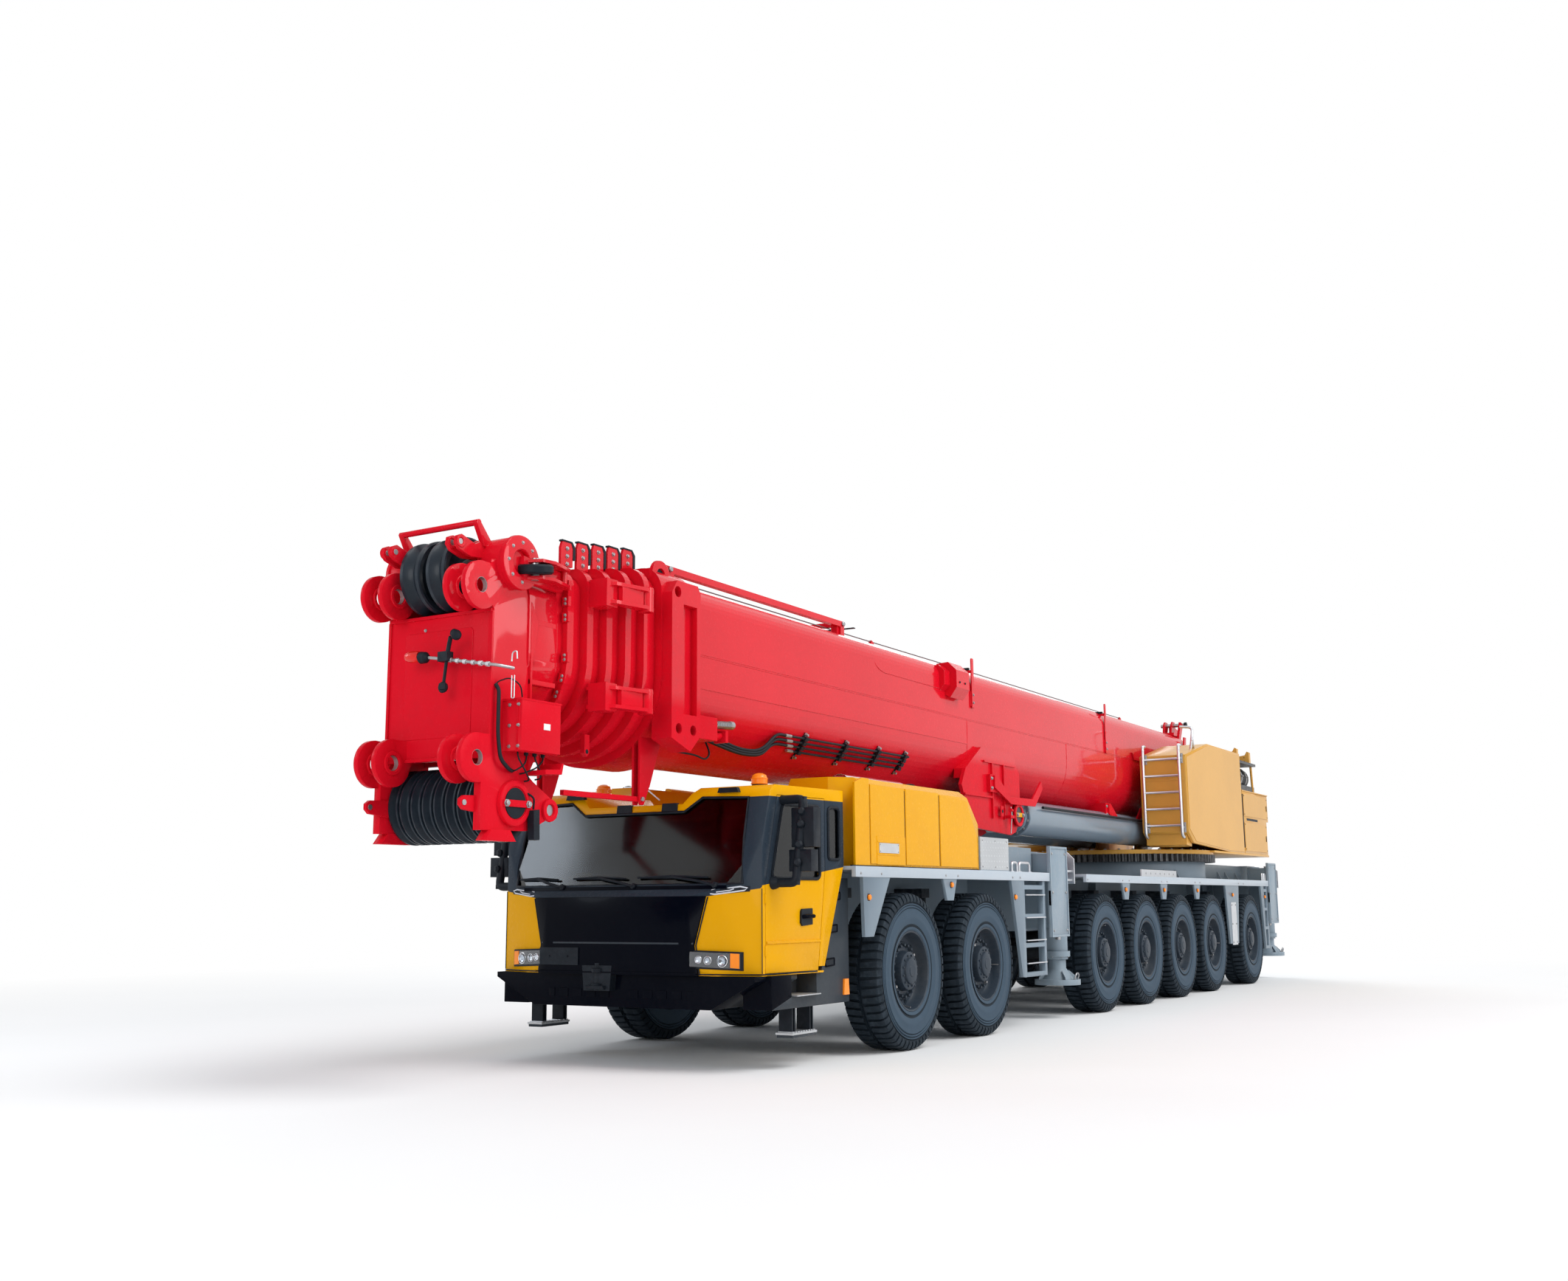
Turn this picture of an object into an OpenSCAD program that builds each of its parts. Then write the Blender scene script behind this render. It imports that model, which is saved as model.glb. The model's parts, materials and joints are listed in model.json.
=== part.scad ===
// Seven-axle all-terrain crane with a telescopic boom, laid down over the cab for the road
// +X is forward, +Y is the driver's left, +Z is up, the origin is under the middle of the machine

/* [Wheels] */
// Diameter of a tyre over its tread
tyre_diameter = 1370; // [1250:10:1450]
// Width of a tyre over its side walls
tyre_width = 385; // [340:5:410]
// Diameter over the rim flanges
rim_diameter = 700; // [640:10:740]
// Distance between the middle planes of the left and right tyres
track = 2600; // [2560:10:2640]
// Diameter of the hub drum
hub_diameter = 340; // [300:10:380]

/* [Axles] */
// Gap between the first and second tyres
front_tyre_gap = 300; // [240:10:360]
// Gap between the close tyres of axles three to six
tyre_gap = 190; // [140:5:200]
// Gap between the sixth and seventh tyres
rear_tyre_gap = 810; // [750:10:870]
// Radius of an axle tube
axle_tube_r = 85; // [70:1:88]
// Distance of a king pin from the middle of the machine
king_pin_y = 1060; // [1040:5:1065]

/* [Carrier] */
// Width over the deck rails
deck_width = 3000; // [2990:10:3060]
// Height of the deck over the tyres
deck_over_tyre = 220; // [190:5:240]
// Height of the silver deck rail
rail_height = 90; // [60:5:110]
// Width of the box frame
frame_width = 1040; // [900:10:1060]
// Height of the frame's underside
frame_bottom = 950; // [930:5:980]
// Length of the frame behind the rear outrigger box
tail_length = 5; // [1:1:100]

/* [Driver cab] */
// From the first axle to the cab's nose
cab_nose = 2400; // [2370:5:2440]
// From the first axle to the cab's rear wall
cab_back = 1100; // [1090:5:1150]
// Height of the cab's underside
cab_bottom = 730; // [710:5:760]
// Height of the roof shoulders
cab_top = 2220; // [2180:5:2250]
// Width of the cab at its rear wall
cab_width = 2800; // [2700:10:2860]
// Thickness of the cab's walls and doors
cab_wall = 50; // [40:1:60]

/* [Engine hood] */
// From the first axle forward to the hood's front
hood_front = 1050; // [900:10:1060]
// From the first axle back to the hood's rear
hood_back = 1610; // [1500:10:1650]
// Height of the hood's side pods over the deck
hood_height = 760; // [700:5:770]
// Width of the hood
hood_width = 2900; // [2700:10:2960]
// Thickness of the hood's panels
hood_wall = 40; // [25:1:50]

/* [Outriggers] */
// Room between the second tyre and the front outrigger box
ladder_bay = 1050; // [1000:10:1200]
// Room between the seventh tyre and the rear outrigger box
rear_bay = 500; // [480:10:700]
// Width of an outrigger beam
beam_width = 460; // [400:5:470]
// Height of an outrigger beam
beam_height = 800; // [700:10:820]
// Radius of a jack tube
jack_r = 125; // [110:1:130]
// Diameter of a jack's foot
foot_diameter = 510; // [440:10:515]
// Height of a foot over the ground
foot_height = 360; // [300:5:380]

/* [Upper works] */
// Distance of the slewing axis behind the sixth axle
slew_behind = 380; // [330:10:430]
// Radius of the slewing ring over its teeth
ring_r = 1400; // [1300:10:1420]
// Height of the slewing ring's top over the deck
ring_over_deck = 360; // [340:5:380]
// Width of the house over its side covers
house_width = 2900; // [2800:10:2980]
// Height of the house covers
house_top = 3580; // [3500:10:3620]
// Distance of the boom's foot pin behind the slewing axis
foot_pin_behind = 1800; // [1750:10:1850]
// Height of the boom's foot pin
foot_pin_z = 3050; // [3020:5:3080]

/* [Boom] */
// Half width of the base section
boom_half = 660; // [640:5:670]
// Height of the base section's lowest line
boom_bottom = 2420; // [2410:5:2440]
// Height of the base section's top
boom_top = 3900; // [3860:5:3920]
// Step from one section to the next, on each side
section_step = 36; // [33:1:37]
// Wall of a section
section_wall = 12; // [8:1:14]
// From the first axle forward to the front of the base collar
base_front = 2800; // [2780:10:2850]
// Length of one section's collar
collar_length = 190; // [180:5:195]
// From the first axle forward to the tips of the head's lugs
nose_reach = 4800; // [4790:5:4830]
// Radius of a sheave
sheave_r = 270; // [240:5:275]
// Radius of the head's lug bores
lug_bore_r = 55; // [40:1:65]

/* [Lift cylinders] */
// Radius of a lift cylinder's barrel
barrel_r = 215; // [190:5:218]
// Radius of a lift cylinder's rod
rod_r = 150; // [120:5:160]
// Distance of a lift cylinder from the middle
lift_y = 500; // [490:5:505]

/* [Hidden] */
$fn = 96;

tyre_r = tyre_diameter / 2;
wheel_y = track / 2;
axle_z = tyre_r;
half = deck_width / 2;
jack_in = 257;
jack_clear = 28;
box_end = 40;
box_short = 340;
box_in = half - jack_in - jack_r - jack_clear;
op_out = house_width / 2;
op_in = boom_half + 180;
deck_height = tyre_diameter + deck_over_tyre;
deck_low = deck_height - 30;
hood_top = deck_height + hood_height;
ring_top = deck_height + ring_over_deck;
beam_dx = beam_width / 2 + 80;
box_half = beam_dx + beam_width / 2 + 35;
ax1 = 0;
ax2 = -tyre_diameter - front_tyre_gap;
fb_x = ax2 - tyre_r - ladder_bay - box_half;
ax3 = fb_x - box_half - tyre_r;
ax4 = ax3 - tyre_diameter - tyre_gap;
ax5 = ax4 - tyre_diameter - tyre_gap;
ax6 = ax5 - tyre_diameter - tyre_gap;
ax7 = ax6 - tyre_diameter - rear_tyre_gap;
rb_x = ax7 - tyre_r - rear_bay - box_half;
tail_reach = box_half + tail_length - rb_x;
slew_x = ax6 - slew_behind;
up_x = slew_x + 10300;
up_z = ring_top - 1950;
row_x = (tail_reach - nose_reach - up_x) / 2;

beam_mid = 1400;
pin_x = -10300 - foot_pin_behind;
boom_mid = boom_bottom + boom_half;
plate_top = 2010;
lift_z = 2290;
lift_back = -10400;
lift_front = -4440;
head_x = base_front + 5 * collar_length;
lug_x = nose_reach - 170;
pin_fit = 0.05;

function arc(cx, cz, r, a0, a1, n) =
    [for (i = [0 : n]) let (a = a0 + (a1 - a0) * i / n) [cx + r * cos(a), cz + r * sin(a)]];
function tube_half(k) = boom_half - k * section_step;
function tube_top(k) = boom_top - k * section_step;
function boom_line(w, top, rt) = concat(arc(0, boom_mid, w, 180, 360, 36),
    arc(w - rt, top - rt, rt, 0, 90, 8), arc(-w + rt, top - rt, rt, 90, 180, 8));

module box(x0, x1, y0, y1, z0, z1) translate([min(x0, x1), min(y0, y1), min(z0, z1)])
    cube([abs(x1 - x0), abs(y1 - y0), abs(z1 - z0)]);
module xz(points, y0, y1) translate([0, y1, 0]) rotate([90, 0, 0])
    linear_extrude(y1 - y0) polygon(points);
module yz(points, x0, x1) translate([x0, 0, 0]) rotate([90, 0, 90])
    linear_extrude(x1 - x0) polygon(points);
module xy(points, z0, z1) translate([0, 0, z0]) linear_extrude(z1 - z0) polygon(points);
module ybar(r, y0, y1) translate([0, y1, 0]) rotate([90, 0, 0]) cylinder(r = r, h = y1 - y0);
module xbar(r, x0, x1) translate([x0, 0, 0]) rotate([0, 90, 0]) cylinder(r = r, h = x1 - x0);
module both() {
    children();
    mirror([0, 1, 0]) children();
}
module row() translate([row_x, 0, 0]) children();
module upper() translate([row_x + up_x, 0, up_z]) children();

// Carrier frame with the two outrigger boxes and the ring pedestal
module beam_slot(cx, side) translate([cx, 0, 0])
    box(-beam_width / 2 - 6, beam_width / 2 + 6, side > 0 ? -box_in - 160 : -half - 100, side > 0 ? half + 100 : box_in + 160,
        beam_mid - beam_height / 2 - 0.3, beam_mid + beam_height / 2 + 6);
module outrigger_box(cx) {
    wide = beam_width / 2 + 35;
    low = beam_mid - beam_height / 2 - 35;
    high = beam_mid + beam_height / 2 + 35;
    box(cx + beam_dx - wide, cx + beam_dx + wide, -box_in, half - box_short, low, high);
    box(cx - beam_dx - wide, cx - beam_dx + wide, box_short - half, box_in, low, high);
}
module chassis_frame() color([0.36, 0.39, 0.44]) row() difference() {
    union() {
        box(-tail_reach, 1050, -frame_width / 2, frame_width / 2, frame_bottom, deck_low);
        box(700, 1050, -450, 450, 600, frame_bottom);
        box(700, cab_nose - 200, -450, 450, 600, cab_bottom);
        outrigger_box(fb_x);
        outrigger_box(rb_x);
        box(rb_x + 400, slew_x, -1050, 1050, deck_low - 1, ring_top - 120);
        box(fb_x + 600, -hood_back - 790, -1300, 1300, deck_height, 1860);
        translate([slew_x, 0, deck_low - 1]) cylinder(r = ring_r - 150, h = ring_top - deck_low - 109);
    }
    beam_slot(fb_x + beam_dx, 1);
    beam_slot(fb_x - beam_dx, -1);
    beam_slot(rb_x + beam_dx, 1);
    beam_slot(rb_x - beam_dx, -1);
}

// Seven driven axles with their suspension struts
module axle_mid() {
    translate([0, 0, axle_z]) sphere(r = 225);
    both() translate([0, 760, axle_z]) cylinder(r = 65, h = 1420 - axle_z);
    both() box(-90, 90, frame_width / 2, 830, 1330, 1420);
}
module steered_axle(x) translate([x, 0, 0]) {
    axle_mid();
    difference() {
        union() {
            translate([0, 0, axle_z]) ybar(axle_tube_r, -king_pin_y, king_pin_y);
            both() translate([0, king_pin_y, axle_z - 125]) cylinder(r = 90, h = 250);
        }
        both() translate([0, king_pin_y, axle_z - 200]) cylinder(r = 40 + pin_fit, h = 400);
    }
}
module fixed_axle(x) translate([x, 0, 0]) {
    axle_mid();
    translate([0, 0, axle_z]) {
        ybar(axle_tube_r, -wheel_y + 110, wheel_y - 110);
        both() ybar(165, wheel_y - 140, wheel_y - 100);
        both() ybar(60, wheel_y - 140, wheel_y + 55);
    }
}
module axle_beams() color([0.25, 0.27, 0.30]) row() {
    steered_axle(ax1);
    steered_axle(ax2);
    fixed_axle(ax3);
    fixed_axle(ax4);
    fixed_axle(ax5);
    fixed_axle(ax6);
    steered_axle(ax7);
}

// Deck plates, rails, fender hangers, ladders and the plate locker
module hanger(x, top_w, low_w, low_z) both() xz([[x - top_w / 2, deck_height - rail_height + 1],
    [x - low_w / 2, low_z], [x + low_w / 2, low_z], [x + top_w / 2, deck_height - rail_height + 1]],
    half - 40, half - 10);
module side_ladder(x0, x1, low) both() {
    box(x0, x0 + 60, half - 90, half - 20, low, deck_height - rail_height + 1);
    box(x1 - 60, x1, half - 90, half - 20, low, deck_height - rail_height + 1);
    for (i = [0 : 3]) box(x0 + 20, x1 - 20, half - 90, half - 20, low + i * 300, low + 45 + i * 300);
}
module carrier_deck() color([0.62, 0.64, 0.66]) row() {
    front_end = fb_x + beam_dx + beam_width / 2 + 45;
    mid_end = fb_x - beam_dx - beam_width / 2 - 45;
    rear_end = rb_x + beam_dx + beam_width / 2 + 45;
    box(front_end, hood_front + 20, -half, half, deck_low, deck_height);
    both() box(front_end, hood_front + 20, half - 40, half, deck_height - rail_height, deck_height);
    difference() {
        both() box(rear_end, mid_end, frame_width / 2, half, deck_low, deck_height);
        translate([slew_x, 0, deck_low - 100]) cylinder(r = ring_r - 149, h = 400);
        box(rb_x + 300, slew_x, -1050, 1050, deck_low - 100, deck_height + 100);
    }
    both() box(rear_end, mid_end, half - 40, half, deck_height - rail_height, deck_height);
    rail_low = deck_height - rail_height + 1;
    both() xz([[930, rail_low], [905, 1000], [745, 1000], [420, rail_low]], half - 40, half - 8);
    for (x = [(ax1 + ax2) / 2, (ax3 + ax4) / 2, (ax4 + ax5) / 2, (ax5 + ax6) / 2]) hanger(x, 300, 140, 1300);
    hanger((ax6 + ax7) / 2, 760, 470, 640);
    both() xz([[-2330, rail_low], [-2570, 520], [-2660, 510], [-2660, rail_low]], half - 40, half - 8);
    side_ladder(-3290, -2650, 510);
    both() xz([[-12760, rail_low], [-12900, 520], [-12960, 510], [-12960, rail_low]], half - 40, half - 8);
    side_ladder(-13230, -12950, 510);
    both() box(-hood_back - 740, -hood_back - 20, 900, half - 40, deck_height, deck_height + 330);
}

// Driver's cab, hollow, with door and window openings
module cab_plan(d) polygon([[cab_nose - d, 700 - cab_width / 2], [cab_nose - 60 - d, 440 - cab_width / 2], [cab_nose - 170 - d, 110 + d - cab_width / 2],
    [cab_back + d, d - cab_width / 2], [cab_back + d, cab_width / 2 - d],
    [cab_nose - 170 - d, cab_width / 2 - 110 - d], [cab_nose - 60 - d, cab_width / 2 - 440],
    [cab_nose - d, cab_width / 2 - 700]]);
function cab_side(d) = [[cab_back + d - 1, 1600], [cab_back + d + 310, cab_bottom + d], [cab_nose - 60, cab_bottom + d], [cab_nose + 20 - d, cab_bottom + 110],
    [cab_nose + 20 - d, 1320], [cab_nose - 70 - d, 1410], [cab_nose - 280 - d, cab_top - 45 - d], [cab_nose - 340 - d, cab_top - d],
    [cab_back + d - 1, cab_top - d]];
module roof_dip(d) yz([[-480 - d, cab_top - 130 - d], [480 + d, cab_top - 130 - d], [640 + d, cab_top + 40], [-640 - d, cab_top + 40]],
    cab_back - 10, cab_nose);
module cab_body(d) difference() {
    intersection() {
        linear_extrude(cab_top + 10) cab_plan(d);
        xz(cab_side(d), -1600, 1600);
    }
    roof_dip(d);
}
module cab_band(d0, d1) difference() {
    linear_extrude(cab_top + 10) cab_plan(d0);
    translate([0, 0, -5]) linear_extrude(cab_top + 30) cab_plan(d1);
}
function door_line(g) = [[1370 + g, 1560], [1480 + g, cab_bottom + 15 + g], [2190 - g, cab_bottom + 15 + g], [2190 - g, 1420], [2030 - g, cab_top - 80 - g],
    [1370 + g, cab_top - 80 - g]];
door_pane = [[1450, 1480], [2110, 1480], [1960, cab_top - 150], [1450, cab_top - 150]];
screen_half = cab_width / 2 - 250;
skin = cab_width / 2 - 110;
quarter_line = [[1165, 1640], [1325, 1640], [1325, cab_top - 150], [1165, cab_top - 150]];
screen_line = [[-screen_half, 1440], [screen_half, 1440], [screen_half - 30, cab_top - 90], [660, cab_top - 90], [500, cab_top - 200],
    [-500, cab_top - 200], [-660, cab_top - 90],
    [30 - screen_half, cab_top - 90]];
hinge_y = cab_width / 2 - 110 * (2190 - cab_back) / (cab_nose - 170 - cab_back);
module hinge_pins(r, g) for (z = [880, 1280]) translate([2190, hinge_y, z - g]) cylinder(r = r, h = 80 + 2 * g);
module cab_shell() color([0.96, 0.68, 0.08]) row() {
    shell_form();
    both() hinge_pins(12, 0);
}
module shell_form() difference() {
    cab_body(0);
    cab_body(cab_wall);
    both() intersection() {
        cab_band(-1, cab_wall);
        xz(door_line(0), cab_width / 2 - 300, cab_width / 2 + 300);
    }
    both() box(1385, 2195, skin - 70, skin + 110, cab_bottom + 15, cab_bottom + cab_wall + 1);
    yz(screen_line, 1900, 2600);
    xz(quarter_line, -1700, 1700);
}
module cab_glass() color([0.12, 0.15, 0.18]) row() intersection() {
    difference() {
        cab_body(12);
        cab_body(22);
    }
    union() {
        yz(screen_line, 1900, 2600);
        xz(quarter_line, -1700, 1700);
    }
}
module cab_front() color([0.06, 0.06, 0.07]) row() {
    intersection() {
        cab_band(-14, 0);
        yz([[-860, 1345], [-765, 960], [-800, cab_bottom], [800, cab_bottom], [765, 960], [860, 1345]], 2000, 2600);
    }
    both() intersection() {
        cab_band(-10, 0);
        yz([[720, 795], [1135, 780], [1150, 905], [705, 925]], 1900, 2600);
    }
    difference() {
        yz([[-skin, cab_bottom], [-skin, 690], [410 - skin, 470], [skin - 410, 470], [skin, 690], [skin, cab_bottom]], 1700, cab_nose - 60);
        box(1500, 2240, -460, 460, 400, cab_bottom + 10);
    }
    both() difference() {
        box(930, 2180, skin - 210, skin + 55, 470, cab_bottom);
        box(1480, 1880, skin - 140, skin + 110, 560, cab_bottom + 10);
        box(920, 1300, skin - 290, skin - 90, 400, 800);
    }
    both() xz([[1085, 1490], [1405, cab_bottom - 1], [930, cab_bottom - 1], [930, 1490]], skin, skin + 55);
    both() {
        for (x = [1520, 1800]) box(x, x + 25, skin - 60, skin + 10, 270, 471);
        box(1490, 1860, skin - 100, skin + 50, 240, 271);
    }
}
module cab_interior() color([0.16, 0.16, 0.17]) row() {
    floor_z = cab_bottom + cab_wall;
    both() {
        box(1510, 1940, 380, 900, floor_z + 300, floor_z + 420);
        box(1410, 1525, 380, 900, floor_z + 300, floor_z + 1000);
        box(1560, 1860, 480, 800, floor_z, floor_z + 301);
    }
    box(2080, 2215, 350 - cab_width / 2, cab_width / 2 - 350, 1100, 1330);
    box(2110, 2215, -900, 900, floor_z, 1101);
    translate([2100, 640, 1250]) rotate([0, -60, 0]) cylinder(r = 35, h = 230);
    translate([2100, 640, 1250]) rotate([0, -60, 0]) translate([0, 0, 230])
        cylinder(r = 210, h = 30);
}

// Cab doors, hinged at the front edge, each with its mirror
module door_panel() difference() {
    intersection() {
        cab_band(0, cab_wall);
        xz(door_line(5), cab_width / 2 - 300, cab_width / 2 + 300);
    }
    hinge_pins(12 + pin_fit, 1);
    xz(door_pane, cab_width / 2 - 300, cab_width / 2 + 300);
}
module mirror_arm() {
    box(2060, 2110, skin - 10, skin + 245, 1425, 1465);
    box(1940, 1985, skin + 5, skin + 245, cab_top - 140, cab_top - 100);
    xz([[2060, 1425], [2110, 1425], [1985, cab_top - 100], [1940, cab_top - 100]], skin + 205, skin + 245);
    box(1955, 2065, skin + 150, skin + 350, 1530, 1700);
    box(1915, 2025, skin + 150, skin + 350, 1720, 2030);
}
module door_pair(side) mirror([0, side > 0 ? 0 : 1, 0]) {
    door_panel();
    mirror_arm();
}
module door_left() color([0.96, 0.68, 0.08]) row() door_pair(1);
module door_right() color([0.96, 0.68, 0.08]) row() door_pair(-1);
module pane(side) mirror([0, side > 0 ? 0 : 1, 0]) intersection() {
    cab_band(18, 28);
    xz(door_pane, cab_width / 2 - 300, cab_width / 2 + 300);
}
module door_glass_left() color([0.12, 0.15, 0.18]) row() pane(1);
module door_glass_right() color([0.12, 0.15, 0.18]) row() pane(-1);

// Engine hood with a low middle under the boom, and the engine inside
module hood_form(d) intersection() {
    yz([[-hood_width / 2 + d, deck_height - d * 2], [hood_width / 2 - d, deck_height - d * 2], [hood_width / 2 - d, hood_top - 60 - d],
        [hood_width / 2 - 60 - d, hood_top - d], [860 + d, hood_top - d], [760 + d, hood_top - 230 - d], [-760 - d, hood_top - 230 - d],
        [-860 - d, hood_top - d], [-hood_width / 2 + 60 + d, hood_top - d], [-hood_width / 2 + d, hood_top - 60 - d]],
        -hood_back + d, hood_front - d);
    xz([[-hood_back + d, deck_height - d * 2], [hood_front - d, deck_height - d * 2], [hood_front - d, hood_top],
        [-hood_back + 310, hood_top], [-hood_back + d, hood_top - 310]], -half, half);
    xy([[-hood_back - 10, -half], [hood_front - 220 - d, -half], [hood_front - 220 - d, d - hood_width / 2],
        [hood_front - d, d + 220 - hood_width / 2], [hood_front - d, hood_width / 2 - 220 - d],
        [hood_front - 220 - d, hood_width / 2 - d], [hood_front - 220 - d, half], [-hood_back - 10, half]], 1000, 2600);
}
module engine_hood() color([0.96, 0.68, 0.08]) row() {
    difference() {
        hood_form(0);
        hood_form(hood_wall);
        both() box(-hood_back - 10, hood_front + 10, 757.8, 758.2, deck_height - 10, hood_top + 10);
    }
    both() translate([0, 1080, hood_top - 8]) xbar(62, -950, 150);
}
module carrier_engine() color([0.40, 0.41, 0.42]) row() box(-1150, 650, -430, 430, deck_height, 2020);

// Slewing ring with its outer teeth
module slewing_ring() color([0.30, 0.30, 0.31]) row() translate([slew_x, 0, ring_top - 110]) difference() {
    linear_extrude(110) polygon([for (i = [0 : 95]) for (j = [0 : 3])
        let (r = j == 1 || j == 2 ? ring_r : ring_r - 45, a = (i + j * 0.25) * 360 / 96) [r * cos(a), r * sin(a)]]);
    translate([0, 0, -1]) cylinder(r = ring_r - 200, h = 200);
}

// Steering knuckles
module knuckle(x, side) mirror([0, side > 0 ? 0 : 1, 0]) translate([x, 0, 0]) {
    box(-70, 70, king_pin_y - 75, wheel_y - 110, axle_z + 130, axle_z + 165);
    box(-70, 70, king_pin_y - 75, wheel_y - 110, axle_z - 165, axle_z - 130);
    box(-120, 120, wheel_y - 140, wheel_y - 100, axle_z - 170, axle_z + 170);
    translate([0, king_pin_y, axle_z - 160]) cylinder(r = 40, h = 320);
    translate([0, 0, axle_z]) ybar(60, wheel_y - 120, wheel_y + 55);
}
module knuckle_1_left() color([0.25, 0.27, 0.30]) row() knuckle(ax1, 1);
module knuckle_1_right() color([0.25, 0.27, 0.30]) row() knuckle(ax1, -1);
module knuckle_2_left() color([0.25, 0.27, 0.30]) row() knuckle(ax2, 1);
module knuckle_2_right() color([0.25, 0.27, 0.30]) row() knuckle(ax2, -1);
module knuckle_7_left() color([0.25, 0.27, 0.30]) row() knuckle(ax7, 1);
module knuckle_7_right() color([0.25, 0.27, 0.30]) row() knuckle(ax7, -1);

// Wheels: a tyre and a rim with its hub, as two solids
function tyre_half(w) = [[rim_diameter / 2 - 26, w * 0.66], [rim_diameter / 2 + 3, w * 0.66], [rim_diameter / 2 + 8, w * 0.79],
    [rim_diameter / 2 + 50, w * 0.93], [rim_diameter / 2 + 130, w], [tyre_r - 125, w * 0.99], [tyre_r - 65, w * 0.94],
    [tyre_r - 28, w * 0.87], [tyre_r - 7, w * 0.78], [tyre_r, w * 0.58]];
module tyre() let (p = tyre_half(tyre_width / 2)) rotate_extrude()
    polygon(concat(p, [for (i = [len(p) - 1 : -1 : 0]) [p[i][0], -p[i][1]]]));
module rim() let (f = rim_diameter / 2, b = rim_diameter / 2 - 26.3, w = tyre_width / 2, h = hub_diameter / 2) rotate_extrude()
    polygon([[60 + pin_fit, -95], [h, -95], [h, -70], [f - 50, -70], [f - 50, -w * 0.75], [f, -w * 0.75], [f, -w * 0.69],
        [b, -w * 0.69], [b, w * 0.69], [f, w * 0.69], [f, w * 0.75], [f - 50, w * 0.75], [f - 50, -40], [h, -40], [h, 150],
        [h - 30, 150], [h - 30, 195], [0, 195], [0, 60], [60 + pin_fit, 60]]);
module wheel(x, side) mirror([0, side > 0 ? 0 : 1, 0]) translate([x, wheel_y, axle_z]) rotate([-90, 0, 0]) {
    tyre();
    rim();
}
module wheel_1_left() color([0.10, 0.11, 0.13]) row() wheel(ax1, 1);
module wheel_1_right() color([0.10, 0.11, 0.13]) row() wheel(ax1, -1);
module wheel_2_left() color([0.10, 0.11, 0.13]) row() wheel(ax2, 1);
module wheel_2_right() color([0.10, 0.11, 0.13]) row() wheel(ax2, -1);
module wheel_3_left() color([0.10, 0.11, 0.13]) row() wheel(ax3, 1);
module wheel_3_right() color([0.10, 0.11, 0.13]) row() wheel(ax3, -1);
module wheel_4_left() color([0.10, 0.11, 0.13]) row() wheel(ax4, 1);
module wheel_4_right() color([0.10, 0.11, 0.13]) row() wheel(ax4, -1);
module wheel_5_left() color([0.10, 0.11, 0.13]) row() wheel(ax5, 1);
module wheel_5_right() color([0.10, 0.11, 0.13]) row() wheel(ax5, -1);
module wheel_6_left() color([0.10, 0.11, 0.13]) row() wheel(ax6, 1);
module wheel_6_right() color([0.10, 0.11, 0.13]) row() wheel(ax6, -1);
module wheel_7_left() color([0.10, 0.11, 0.13]) row() wheel(ax7, 1);
module wheel_7_right() color([0.10, 0.11, 0.13]) row() wheel(ax7, -1);

// Outrigger beams with their jack tubes, and the jacks with their feet
module spin_about(cx, side) translate([cx, 0, 0]) rotate([0, 0, side > 0 ? 0 : 180]) children();
module out_beam(cx, side) spin_about(cx, side) {
    lo = beam_mid - beam_height / 2;
    hi = beam_mid + beam_height / 2;
    jack_y = half - jack_in;
    box(beam_dx - beam_width / 2, beam_dx + beam_width / 2, box_end - box_in, half - 30, lo, hi);
    box(beam_dx - beam_width / 2 - 35, beam_dx + beam_width / 2 + 35, half - 30, half, lo - 100, hi + 80);
    difference() {
        union() {
            translate([-220, jack_y, 640]) cylinder(r = jack_r, h = 920);
            box(-190, beam_dx - beam_width / 2 + 10, jack_y - 60, jack_y + 60, 1120, 1500);
        }
        translate([-220, jack_y, 600]) cylinder(r = jack_r - 25, h = 900);
    }
}
module out_jack(cx, side) spin_about(cx, side) translate([-220, half - jack_in, 0]) {
    translate([0, 0, foot_height + 60]) cylinder(r = jack_r - 25.3, h = 1420 - foot_height);
    translate([0, 0, foot_height + 50]) cylinder(r1 = foot_diameter / 2 - 60, r2 = jack_r - 25.3, h = 130);
    translate([0, 0, foot_height]) cylinder(r = foot_diameter / 2, h = 60);
}
module beam_front_left() color([0.45, 0.48, 0.52]) row() out_beam(fb_x, 1);
module beam_front_right() color([0.45, 0.48, 0.52]) row() out_beam(fb_x, -1);
module beam_rear_left() color([0.45, 0.48, 0.52]) row() out_beam(rb_x, 1);
module beam_rear_right() color([0.45, 0.48, 0.52]) row() out_beam(rb_x, -1);
module jack_front_left() color([0.45, 0.48, 0.52]) row() out_jack(fb_x, 1);
module jack_front_right() color([0.45, 0.48, 0.52]) row() out_jack(fb_x, -1);
module jack_rear_left() color([0.45, 0.48, 0.52]) row() out_jack(rb_x, 1);
module jack_rear_right() color([0.45, 0.48, 0.52]) row() out_jack(rb_x, -1);

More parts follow.
